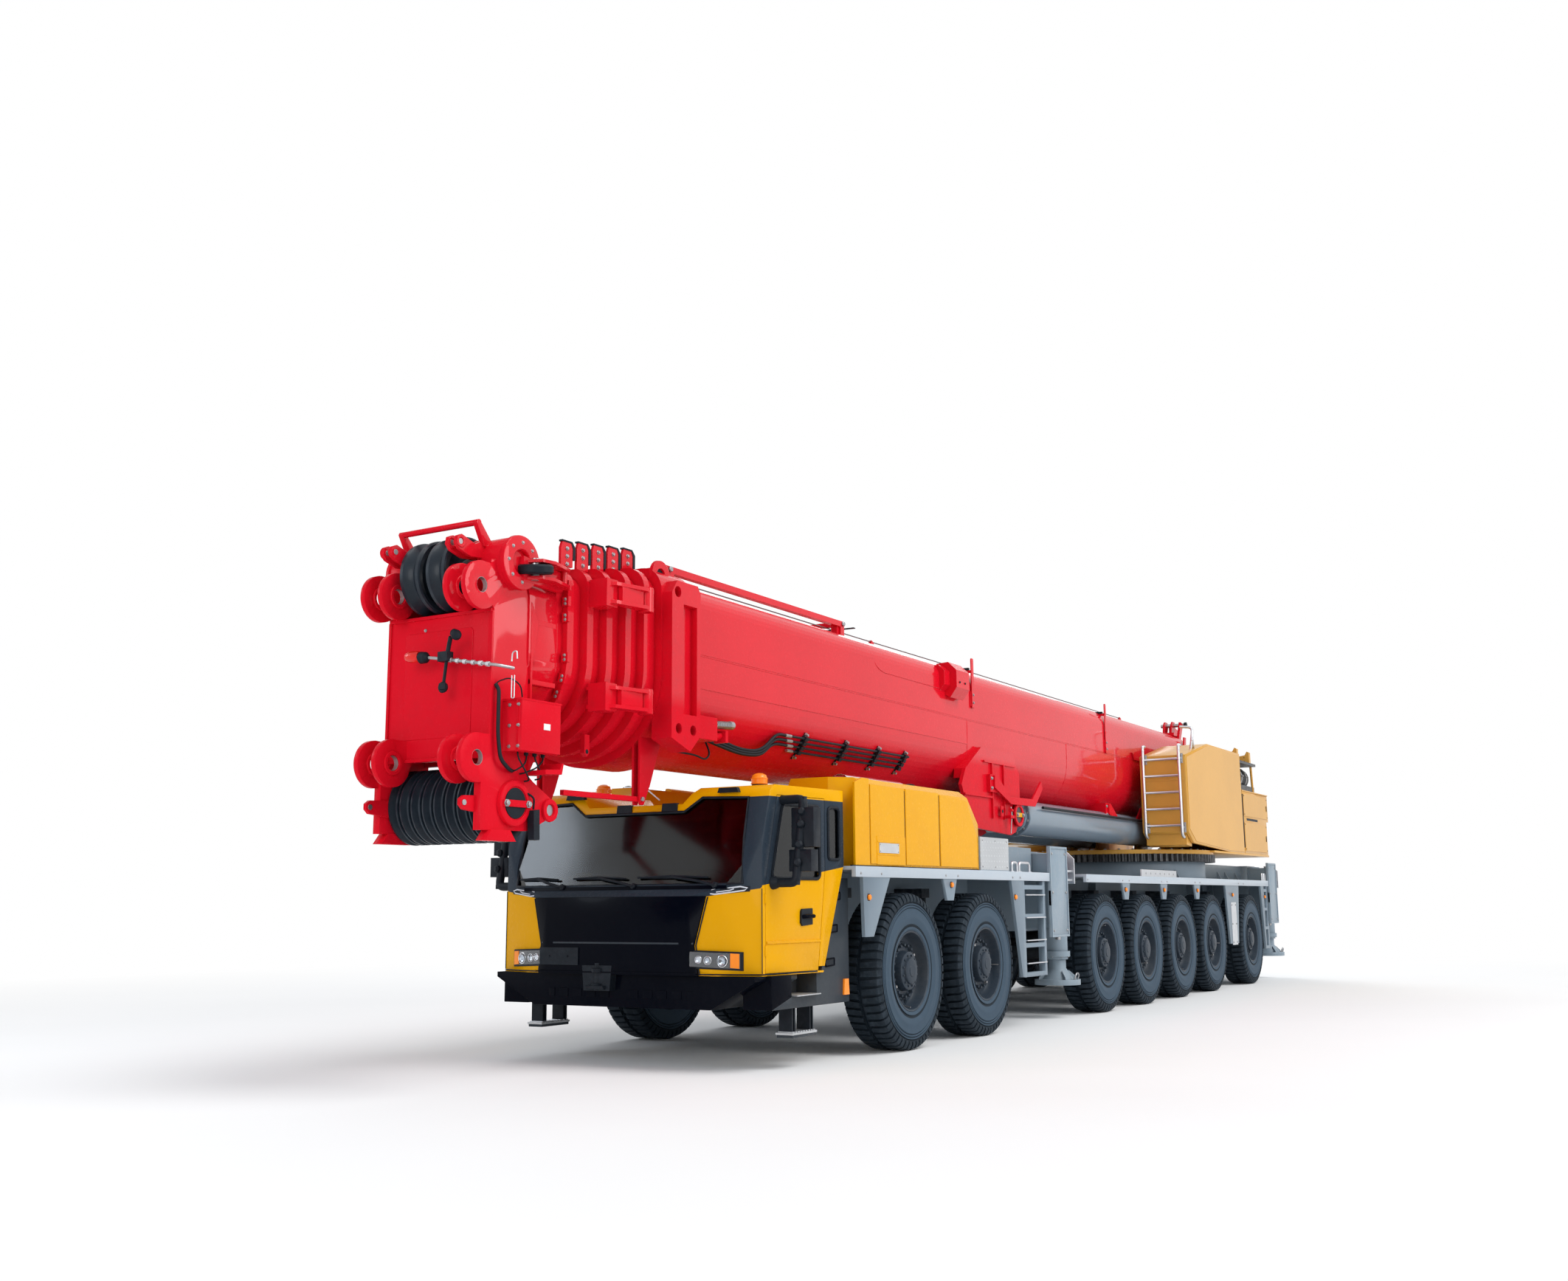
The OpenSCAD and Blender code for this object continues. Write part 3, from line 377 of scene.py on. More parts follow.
def make_grain():
    """Fine grain for cast, moulded and rubber surfaces."""
    g, i, o = new_group("surface_grain", [("Size", "Float", 220.0), ("Streak", "Float", 0.0)],
                        [("Height", "Float"), ("Mask", "Float")])
    where = put(g, "TexCoord")
    cells = put(g, "TexVoronoi")
    g.links.new(where.outputs["Object"], cells.inputs["Vector"])
    g.links.new(i["Size"], cells.inputs["Scale"])
    soft = noise(g, where.outputs["Object"], 9.0, 6.0, 0.65)
    g.links.new(calc(g, "ADD", cells.outputs["Distance"], calc(g, "MULTIPLY", soft, i["Streak"])), o["Height"])
    g.links.new(span(g, soft, 0.3, 0.75), o["Mask"])
    return g


ROAD_DUST, RUBBED, GRAIN = make_road_dust(), make_rubbed_edges(), make_grain()


def use(tree, group, **values):
    """Places a shared effect in a material with its own values."""
    node = put(tree, "Group")
    node.node_tree = group
    for key, value in values.items():
        feed(tree, value, node.inputs[key])
    return node.outputs


def surface(name):
    mat = bpy.data.materials.new(name)
    mat.use_nodes = True
    return mat, mat.node_tree, mat.node_tree.nodes["Principled BSDF"]


def bump(tree, bsdf, height, strength, distance=0.002):
    node = put(tree, "Bump")
    node.inputs["Strength"].default_value = strength
    node.inputs["Distance"].default_value = distance
    tree.links.new(height, node.inputs["Height"])
    tree.links.new(node.outputs[0], bsdf.inputs["Normal"])


def paint(name, colour, shade, gloss=0.22, dust=0.25, coat=0.4, worn=(0.2, 0.2, 0.21), wear=0.3, metal=0.0,
          mottle=0.9, tone=None, shine=0.22, sheen=None):
    """Painted plate: colour that drifts, dust, rubbed edges and a slight orange peel.

    tone puts a second colour on, and sheen says where the clear coat lies."""
    mat, tree, bsdf = surface(name)
    base = tone(tree) if tone else colour
    dusty = use(tree, ROAD_DUST, Paint=base, Shade=base if tone else shade,
                Amount=dust, Mottle=mottle, Gloss=gloss)
    bare = use(tree, RUBBED, Amount=wear)
    tree.links.new(blend_colour(tree, bare["Mask"], dusty["Colour"], worn), bsdf.inputs["Base Color"])
    tree.links.new(dusty["Roughness"], bsdf.inputs["Roughness"])
    bsdf.inputs["Metallic"].default_value = metal
    feed(tree, sheen(tree) if sheen else coat, bsdf.inputs["Coat Weight"])
    bsdf.inputs["Coat Roughness"].default_value = 0.06
    bsdf.inputs["Specular IOR Level"].default_value = shine
    bump(tree, bsdf, dusty["Height"], 0.05)
    return mat


def grained(name, colour, light, rough=0.6, size=220.0, strength=0.15, metal=0.0, streak=0.3, coat=0.0, shine=0.35):
    """Rubber, moulded plastic, castings and bare metal."""
    mat, tree, bsdf = surface(name)
    grain = use(tree, GRAIN, Size=size, Streak=streak)
    bare = use(tree, RUBBED, Amount=0.35)
    tone = blend_colour(tree, calc(tree, "MULTIPLY", grain["Mask"], 0.6), colour, light)
    tree.links.new(blend_colour(tree, bare["Mask"], tone, tuple(min(1.0, c * 1.8 + 0.02) for c in light)),
                   bsdf.inputs["Base Color"])
    tree.links.new(calc(tree, "ADD", rough - 0.06, calc(tree, "MULTIPLY", grain["Mask"], 0.12), True),
                   bsdf.inputs["Roughness"])
    bsdf.inputs["Metallic"].default_value = metal
    bsdf.inputs["Coat Weight"].default_value = coat
    bsdf.inputs["Specular IOR Level"].default_value = shine
    bump(tree, bsdf, grain["Height"], strength, 0.001)
    return mat


def cab_band(tree):
    """Yellow paint with the dark band round the cab's windows, lower at the nose and under the roof's brow."""
    place = put(tree, "SeparateXYZ")
    tree.links.new(put(tree, "TexCoord").outputs["Object"], place.inputs[0])
    x, y, z = place.outputs
    sides = calc(tree, "ADD", calc(tree, "MULTIPLY", calc(tree, "SUBTRACT", ROW + 2.2, x), 0.14), 1.427)
    nose = calc(tree, "ADD", calc(tree, "MULTIPLY", calc(tree, "SUBTRACT", calc(tree, "ABSOLUTE", y), 0.86), 0.14),
                1.342)
    at_nose = span(tree, x, ROW + 2.226, ROW + 2.234)
    foot = calc(tree, "ADD", calc(tree, "MULTIPLY", sides, calc(tree, "SUBTRACT", 1.0, at_nose)),
                calc(tree, "MULTIPLY", nose, at_nose))
    over = span(tree, calc(tree, "SUBTRACT", z, foot), -0.002, 0.002)
    brow = calc(tree, "MULTIPLY", span(tree, calc(tree, "ABSOLUTE", y), 0.67, 0.51), -0.105)
    under = span(tree, calc(tree, "SUBTRACT", z, brow), 2.128, 2.123)
    return blend_colour(tree, calc(tree, "MULTIPLY", over, under), CAB_YELLOW, BAND_DARK)


def flank_coat(tree):
    """The boom's upright flanks are glossier than its rounded belly and its ends."""
    where = put(tree, "TexCoord")
    place, facing = put(tree, "SeparateXYZ"), put(tree, "SeparateXYZ")
    tree.links.new(where.outputs["Object"], place.inputs[0])
    tree.links.new(where.outputs["Normal"], facing.inputs[0])
    high = span(tree, place.outputs[2], 2.80, 2.92)
    upright = span(tree, calc(tree, "ABSOLUTE", facing.outputs[1]), 0.35, 0.8)
    return calc(tree, "MULTIPLY", calc(tree, "MULTIPLY", high, upright), 0.6)


def lens(name, colour, glow=0.0):
    """A lamp's moulded lens with fine ribs."""
    mat, tree, bsdf = surface(name)
    grain = use(tree, GRAIN, Size=90.0)
    tree.links.new(blend_colour(tree, calc(tree, "MULTIPLY", grain["Mask"], 0.4), colour,
                                tuple(c * 0.7 for c in colour)), bsdf.inputs["Base Color"])
    bsdf.inputs["Roughness"].default_value = 0.16
    bsdf.inputs["Specular IOR Level"].default_value = 0.2
    bsdf.inputs["Coat Weight"].default_value = 0.15
    if glow:
        bsdf.inputs["Emission Color"].default_value = (*colour, 1)
        bsdf.inputs["Emission Strength"].default_value = glow
    bump(tree, bsdf, grain["Height"], 0.3, 0.002)
    return mat


def pane(name, colour, clear, rough=0.08, shine=0.5):
    """Tinted glass with a faint film of dust."""
    mat, tree, bsdf = surface(name)
    where = put(tree, "TexCoord")
    film = span(tree, noise(tree, where.outputs["Object"], 2.2, 6.0, 0.7), 0.35, 0.85)
    tree.links.new(blend_colour(tree, calc(tree, "MULTIPLY", film, 0.25), colour,
                                tuple(min(1, c * 1.6 + 0.01) for c in colour)), bsdf.inputs["Base Color"])
    tree.links.new(calc(tree, "ADD", calc(tree, "MULTIPLY", film, 0.05), rough), bsdf.inputs["Roughness"])
    bsdf.inputs["Transmission Weight"].default_value = clear
    bsdf.inputs["IOR"].default_value = 1.45
    bsdf.inputs["Specular IOR Level"].default_value = shine
    return mat


def tread_plate(name, colour, shade):
    """Aluminium sheet with the rolled pattern of short crossed bars."""
    mat, tree, bsdf = surface(name)
    where = put(tree, "TexCoord")
    dusty = use(tree, ROAD_DUST, Paint=colour, Shade=shade, Amount=0.35, Gloss=0.34)
    bars = []
    for turn in (math.radians(45), math.radians(-45)):
        spin = put(tree, "Mapping")
        spin.inputs["Rotation"].default_value = (0.6, 0.6, turn)
        spin.inputs["Scale"].default_value = (1.0, 0.45, 1.0)
        tree.links.new(where.outputs["Object"], spin.inputs[0])
        cells = put(tree, "TexVoronoi")
        cells.inputs["Scale"].default_value = 26.0
        cells.inputs["Randomness"].default_value = 0.0
        tree.links.new(spin.outputs[0], cells.inputs["Vector"])
        bars.append(span(tree, cells.outputs["Distance"], 0.34, 0.22))
    rolled = calc(tree, "MAXIMUM", bars[0], bars[1])
    tree.links.new(blend_colour(tree, calc(tree, "MULTIPLY", rolled, 0.35), dusty["Colour"], (0.85, 0.87, 0.9)),
                   bsdf.inputs["Base Color"])
    tree.links.new(dusty["Roughness"], bsdf.inputs["Roughness"])
    bsdf.inputs["Metallic"].default_value = 0.75
    bump(tree, bsdf, rolled, 0.6, 0.004)
    return mat


CAB_YELLOW, BAND_DARK = (0.775, 0.372, 0.001), (0.026, 0.038, 0.054)
RED, HOUSE = (0.70, 0.006, 0.019), (0.70, 0.37, 0.072)
GREY, PALE = (0.20, 0.25, 0.295), (0.42, 0.48, 0.54)
boom_red = paint("boom_red_paint", RED, (0.58, 0.004, 0.014), gloss=0.24, dust=0.03, worn=(0.42, 0.02, 0.03),
                 wear=0.3, shine=0.045, sheen=flank_coat)
cab_yellow = paint("cab_yellow_paint", CAB_YELLOW, (0.72, 0.315, 0.001), gloss=0.24, dust=0.04, coat=0.08,
                   worn=(0.5, 0.28, 0.04), wear=0.15, shine=0.09)
cab_two_tone = paint("cab_banded_paint", CAB_YELLOW, CAB_YELLOW, gloss=0.24, dust=0.03, coat=0.03, wear=0.0,
                     tone=cab_band, shine=0.05)
house_paint = paint("house_yellow_paint", HOUSE, (0.61, 0.315, 0.06), gloss=0.28, dust=0.10, coat=0.08,
                    worn=(0.45, 0.26, 0.08), wear=0.25, shine=0.16)
frame_paint = paint("frame_grey_paint", GREY, (0.12, 0.16, 0.20), gloss=0.36, dust=0.25, coat=0.05,
                    worn=(0.3, 0.31, 0.32), wear=0.3)
hanger_paint = paint("hanger_grey_paint", (0.19, 0.25, 0.305), (0.155, 0.21, 0.26), gloss=0.34, dust=0.22, coat=0.06,
                     wear=0.4, worn=(0.36, 0.37, 0.38))
outrigger_paint = paint("outrigger_grey_paint", (0.25, 0.32, 0.38), (0.205, 0.27, 0.325), gloss=0.34, dust=0.22,
                        coat=0.06, wear=0.45, worn=(0.40, 0.41, 0.42))
pale_paint = paint("deck_edge_paint", PALE, (0.48, 0.54, 0.60), gloss=0.32, dust=0.2, coat=0.1, wear=0.35,
                   worn=(0.6, 0.61, 0.62))
barrel_paint = paint("barrel_grey_paint", (0.19, 0.25, 0.305), (0.155, 0.21, 0.26), gloss=0.22, dust=0.03, coat=0.15,
                     mottle=0.5, shine=0.3)
axle_paint = paint("axle_dark_paint", (0.022, 0.03, 0.04), (0.014, 0.02, 0.028), gloss=0.5, dust=0.25, coat=0.0,
                   shine=0.12)
hub_paint = paint("hub_dark_paint", (0.018, 0.030, 0.046), (0.013, 0.022, 0.035), gloss=0.38, dust=0.08, coat=0.02,
                  wear=0.4, worn=(0.11, 0.13, 0.15), shine=0.16)
black_paint = paint("panel_black_paint", (0.0006, 0.0014, 0.0048), (0.0012, 0.0024, 0.0065), gloss=0.2, dust=0.02,
                    coat=0.02, wear=0.1, worn=(0.04, 0.042, 0.05), shine=0.025)
# Slate paint of the step box, also used as a painted highlight on the crease strip across the cab's nose.
slate_paint_and_crease_highlight = paint("step_box_paint_and_crease_highlight", (0.020, 0.029, 0.040), (0.028, 0.038, 0.050), gloss=0.36, dust=0.2, coat=0.02,
                    wear=0.3, worn=(0.09, 0.10, 0.11), shine=0.14)
# Two copies of one tyre rubber: the darker one is painted shade on the tread, in the grooves and on the small discs of
# the rim; the lighter one is painted light on the side walls.
rubber_in_painted_shade = grained("tyre_rubber_in_painted_shade", (0.009, 0.015, 0.022), (0.021, 0.032, 0.044), rough=0.66, size=160.0, strength=0.2,
                 streak=0.6, shine=0.14)
rubber_in_painted_light = grained("side_wall_rubber_in_painted_light", (0.040, 0.066, 0.096), (0.060, 0.092, 0.128), rough=0.62, size=160.0,
                      strength=0.2, streak=0.6, shine=0.14)
hose_rubber = grained("hose_rubber", (0.008, 0.010, 0.014), (0.018, 0.021, 0.026), rough=0.5, size=260.0, shine=0.16)
trim_plastic = grained("trim_plastic", (0.006, 0.009, 0.014), (0.014, 0.019, 0.026), rough=0.46, size=420.0,
                       strength=0.25, shine=0.14)
cab_plastic = grained("cab_plastic", (0.04, 0.042, 0.047), (0.065, 0.068, 0.073), rough=0.6, size=500.0, strength=0.3,
                      shine=0.2)
sheave_nylon = grained("sheave_nylon", (0.008, 0.014, 0.022), (0.018, 0.027, 0.038), rough=0.36, size=300.0,
                       streak=0.5, coat=0.06, shine=0.2)
cast_iron = grained("cast_iron", (0.09, 0.092, 0.096), (0.16, 0.16, 0.165), rough=0.6, size=140.0, strength=0.35,
                    metal=0.4)
bare_steel = grained("bare_steel", (0.32, 0.32, 0.33), (0.46, 0.46, 0.47), rough=0.38, size=320.0, metal=0.9)
aluminium = grained("ladder_aluminium", (0.55, 0.57, 0.60), (0.68, 0.69, 0.72), rough=0.34, size=340.0, metal=0.85)
chrome = grained("chrome_plate", (0.70, 0.71, 0.74), (0.80, 0.81, 0.83), rough=0.12, size=60.0, strength=0.02,
                 metal=1.0, streak=0.05)
rope_steel = grained("wire_rope", (0.16, 0.16, 0.165), (0.30, 0.30, 0.31), rough=0.45, size=300.0, metal=0.7,
                     strength=0.6)
greased_steel = grained("greased_steel", (0.035, 0.036, 0.038), (0.10, 0.10, 0.105), rough=0.42, size=120.0,
                        metal=0.6, streak=1.0)
seat_cloth = grained("seat_cloth", (0.03, 0.031, 0.034), (0.06, 0.062, 0.066), rough=0.85, size=700.0, strength=0.5)
blank_label = grained("blank_label", (0.78, 0.78, 0.77), (0.86, 0.86, 0.85), rough=0.4, size=60.0, strength=0.02)
checker = tread_plate("checker_plate", (0.56, 0.58, 0.60), (0.44, 0.46, 0.48))
amber_lens = lens("amber_lens", (0.95, 0.26, 0.015), 0.1)
red_lens, white_strip = lens("red_lens", (0.75, 0.02, 0.015)), lens("white_strip", (0.62, 0.66, 0.72), 0.05)
cab_pane, lamp_pane = pane("cab_glass_tint", (0.05, 0.068, 0.085), 1.0, 0.10, 0.26), pane("lamp_glass",
        (0.86, 0.89, 0.92), 1.0, 0.01)
DRESS = {"frame_grey": frame_paint, "axle_dark": axle_paint, "deck_silver": pale_paint, "cab_yellow": cab_yellow,
    "house_yellow": house_paint, "trim_black": black_paint, "cab_glass": cab_pane, "interior_grey": cab_plastic,
    "engine_grey": cast_iron, "ring_steel": greased_steel, "outrigger_grey": outrigger_paint, "boom_red": boom_red,
    "sheave_black": sheave_nylon, "cylinder_grey": barrel_paint, "rod_chrome": chrome, "winch_steel": bare_steel}
EASED = {"cab_shell": 0.018, "door_left": 0.008, "door_right": 0.008, "engine_hood": 0.02, "house_covers": 0.02,
         "boom_head": 0.008,
    "cab_front": 0.012, "chassis_frame": 0.008, "operator_cab": 0.02, "turntable": 0.008, "upper_engine": 0.01,
    "carrier_deck": 0.006, "cab_interior": 0.015, "axle_beams": 0.01, "carrier_engine": 0.02}
FLAT = ("engine_hood", "house_covers", "carrier_deck", "chassis_frame", "turntable", "operator_cab")


def dress_solids():
    for part in frame["record"]["subparts"]:
        obj = NODES[part["node"]]
        finish = cab_two_tone if part["node"] in ("cab_shell", "door_left",
                                                  "door_right") else DRESS.get(part["material_slot"])
        if finish is None:
            continue
        obj.data.materials.clear()
        obj.data.materials.append(finish)
        soften(obj.data, 14 if part["node"] in FLAT else 30)
        width = EASED.get(part["node"], 0.006 if part["node"].startswith(("beam_", "jack_", "knuckle")) else 0.0)
        if width:
            join = obj.modifiers.new("joined_faces", "WELD")
            join.merge_threshold = 0.0002
            ease(obj, width)


def tinted(node, where, finish):
    """Gives the faces of a solid that lie in a region another finish."""
    obj = NODES[node]
    mesh = obj.data
    mesh.materials.append(finish)
    place = len(mesh.materials) - 1
    for face in mesh.polygons:
        c = obj.matrix_world @ face.center
        if where(c.x - ROW, c.y, c.z):
            face.material_index = place


dress_solids()


# Wheels: one mesh, made at the origin with its outer side to +Y, placed at each hub
HUB_Z, HUB_Y = 0.685, 1.3
AXLES = (0.0, -1.67, -5.24, -6.80, -8.36, -9.92, -12.10)
TREAD_BLOCKS, RIM_BOLTS, HUB_BOLTS = 56, 20, 12


def shoulder_lug(side, angle, pitch):
    """A tread block that runs from the middle over the shoulder down the side wall."""
    outline = [(0.020, 0.655), (0.020, 0.6848), (0.140, 0.6845), (0.172, 0.672), (0.1905, 0.630), (0.188, 0.606),
               (0.15, 0.650)]
    v = []
    for edge in (-1, 1):
        for y, r in outline:
            a = angle + pitch * (0.36 * edge * (1.0 if y > 0.1 else 0.85) + 0.9 * (y - 0.1))
            v.append((r * math.cos(a), side * y, r * math.sin(a)))
    return v, prism_faces(len(outline))


def wheel_mesh():
    """Tyre with tread and moulded side walls, rim, hub and bolts; a darker copy of the rubber is painted shade on the
    tread and in the grooves, a lighter copy is painted light on the side walls.
    """
    w = Piece("wheel", None, None, rubber_in_painted_shade, hub_paint, bare_steel, rubber_in_painted_light)
    side = [(0.160, 0.346), (0.176, 0.356), (0.182, 0.374), (0.182, 0.384), (0.172, 0.390), (0.180, 0.41),
            (0.189, 0.455), (0.1915, 0.470), (0.1895, 0.480),
            (0.1905, 0.53), (0.1915, 0.541), (0.183, 0.547), (0.183, 0.553), (0.1905, 0.559), (0.1905, 0.565),
            (0.181, 0.571), (0.181, 0.577), (0.189, 0.583), (0.188, 0.589), (0.178, 0.595), (0.178, 0.601),
            (0.185, 0.607), (0.179, 0.628), (0.166, 0.652), (0.150, 0.660), (0.016, 0.660), (0.012, 0.648)]
    at = (-ROW, 0, 0)
    w.add(ring(side + [(-y, r) for y, r in reversed(side)], at, LEFT, 96))
    for a, b in zip(circle(TREAD_BLOCKS), circle(TREAD_BLOCKS, 0.5)):
        for s, angle in ((1, a), (-1, b)):
            w.add(grown(shoulder_lug(s, angle, 2 * math.pi / TREAD_BLOCKS), Matrix.Translation(at)))
    w.add(turned([(-0.15, 0.30), (-0.165, 0.352), (-0.15, 0.335), (0.10, 0.318), (0.150, 0.345), (0.172, 0.356),
                  (0.178, 0.350), (0.172, 0.336),
                  (0.120, 0.322), (0.085, 0.312), (0.070, 0.300), (0.066, 0.262), (0.082, 0.250), (0.088, 0.20),
                  (0.088, 0.178), (0.125, 0.172),
                  (0.150, 0.165), (0.156, 0.150), (0.158, 0.118), (0.176, 0.112), (0.182, 0.098), (0.182, 0.055),
                  (0.187, 0.05), (0.187, 0.012)], at, LEFT, 56), mat=1)
    for k, a in enumerate(circle(RIM_BOLTS)):
        w.add(bolt((-ROW + 0.226 * math.cos(a), 0.086, 0.226 * math.sin(a)), LEFT, 0.015, 0.032), mat=2 if k % 10 == 3
              else 1)
    for k, a in enumerate(circle(HUB_BOLTS, 0.5)):
        w.add(bolt((-ROW + 0.135 * math.cos(a), 0.156, 0.135 * math.sin(a)), LEFT, 0.009, 0.012), mat=1)
        if k % 2:
            w.add(turned([(0.068, 0.022), (0.073, 0.022), (0.073, 0.016), (0.0685, 0.014)],
                         (-ROW + 0.281 * math.cos(a), 0, 0.281 * math.sin(a)), LEFT, 12), mat=0)
    w.add(rod((-ROW + 0.30, 0.08, 0.02), (-ROW + 0.315, 0.165, 0.02), 0.006), mat=2)
    mesh = w.mesh(40)
    # Side-wall faces take the lighter rubber as painted light; the tread and the grooves keep the darker rubber as
    # painted shade.
    for face in mesh.polygons:
        out, r = abs(face.center.y), math.hypot(face.center.x, face.center.z)
        groove_in_painted_shade = 0.545 < r and out < 0.1848 or 0.384 < r < 0.40 and out < 0.178
        if face.material_index == 0 and 0.34 < r < 0.606 and not groove_in_painted_shade:
            face.material_index = 3
    return mesh


def fit_wheels():
    """Sets the wheel at every hub, a quarter turn on from axle to axle."""
    mesh = wheel_mesh()
    for k, x in enumerate(AXLES, 1):
        for side, s in SIDES:
            obj = bpy.data.objects.new(f"tyre_and_rim_{k}_{side}", mesh)
            turn = Matrix.Rotation(math.pi / 2 * (k % 4), 4, "Y")
            obj.matrix_world = Matrix.Translation((x + ROW, s * HUB_Y, HUB_Z)) @ Matrix.Rotation(0 if s > 0
                    else math.pi, 4, "Z") @ turn
            bpy.context.scene.collection.objects.link(obj)
            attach(obj, f"wheel_{k}_{side}")
            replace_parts(obj, f"wheel_{k}_{side}")


fit_wheels()


# Driver's cab
CAB_FLOOR = 0.78
BEACONS = ((1.63, 0.90), (1.40, -0.90))


def nose_x(y):
    """How far forward the cab's skin lies at this distance from the middle."""
    y = abs(y)
    if y <= 0.70:
        return 2.40
    return 2.40 - (y - 0.70) * 0.2308 if y <= 0.96 else 2.34 - (y - 0.96) * 0.3333


def screen_x(y, z):
    """The same for the raked windscreen, at a height."""
    return min(nose_x(y), 2.33 - 0.2745 * (z - 1.41))


def side_y(x):
    """How far out the cab's side lies, which narrows to the front."""
    return 1.40 - 0.09735 * (x - 1.10)


def wrapped(y0, y1, low, high, off, thick, n=10, where=None):
    """A plate bent round the cab's nose between two lines of height."""
    where = where or (lambda y, z: nose_x(y))
    v = []
    for k in range(n + 1):
        t = k / n
        y = y0 + (y1 - y0) * t
        lo, hi = low[0] + (low[1] - low[0]) * t, high[0] + (high[1] - high[0]) * t
        v += [(where(y, lo) + off, y, lo), (where(y, hi) + off, y, hi),
              (where(y, hi) + off - thick, y, hi), (where(y, lo) + off - thick, y, lo)]
    return v, capped_tube(n + 1, 4)


def cab_lamps():
    bowl = Piece("headlamp_bowls", "carrier", "rod_chrome", chrome, trim_plastic, cast_iron)
    glass = Piece("headlamp_glasses", "carrier", "cab_glass", lamp_pane)
    amber = Piece("amber_lamps", "carrier", "cab_glass", amber_lens)
    white = Piece("corner_light_strips", "carrier", "cab_glass", white_strip, trim_plastic)
    bowl.add(wrapped(0.715, 1.15, (0.790, 0.772), (0.930, 0.914), 0.014, 0.02), True, 1)
    bowl.add(wrapped(0.735, 1.13, (0.803, 0.786), (0.918, 0.902), 0.019, 0.012), True, 2)
    for y, z, r in ((1.0, 0.846, 0.047), (0.885, 0.851, 0.034), (0.81, 0.857, 0.030)):
        bowl.add(turned([(0, r), (0.022, r), (0.024, r * 0.9), (0.012, r * 0.75), (0.008, r * 0.2)],
                        (nose_x(y) + 0.012, y, z), (1, 0.15, 0), 24), True)
    glass.add(wrapped(0.738, 1.055, (0.806, 0.792), (0.915, 0.905), 0.030, 0.005), True)
    for y, z, r in ((1.0, 0.846, 0.033), (0.885, 0.851, 0.022)):
        glass.add(turned([(0, r), (0.012, r * 0.9), (0.02, r * 0.5)], (nose_x(y) + 0.024, y, z), (1, 0.15, 0), 20),
                  True)
    amber.add(wrapped(1.062, 1.128, (0.795, 0.789), (0.905, 0.901), 0.030, 0.010), True)
    amber.add(slab([(0.955, 0.530), (1.045, 0.530), (1.035, 0.660), (0.965, 0.660)], "y", 1.343, 1.362), True)
    loop = [(0.86, 1.366), (0.90, 1.392), (1.13, 1.416), (1.185, 1.404), (1.16, 1.386), (0.93, 1.358), (0.86, 1.366)]
    white.add(run([(screen_x(y, z) + 0.008, y, z) for y, z in loop], 0.0065, 8), True)
    white.add(run([(screen_x(y, z) + 0.008, y, z) for y, z in ((0.94, 1.375), (1.05, 1.388), (1.08, 1.399))], 0.005,
                  6), True)
    white.add(wrapped(0.84, 1.20, (1.348, 1.378), (1.398, 1.420), 0.003, 0.012, where=screen_x), True, 1)
    for p in (bowl, glass, amber, white):
        p.done(0.002)


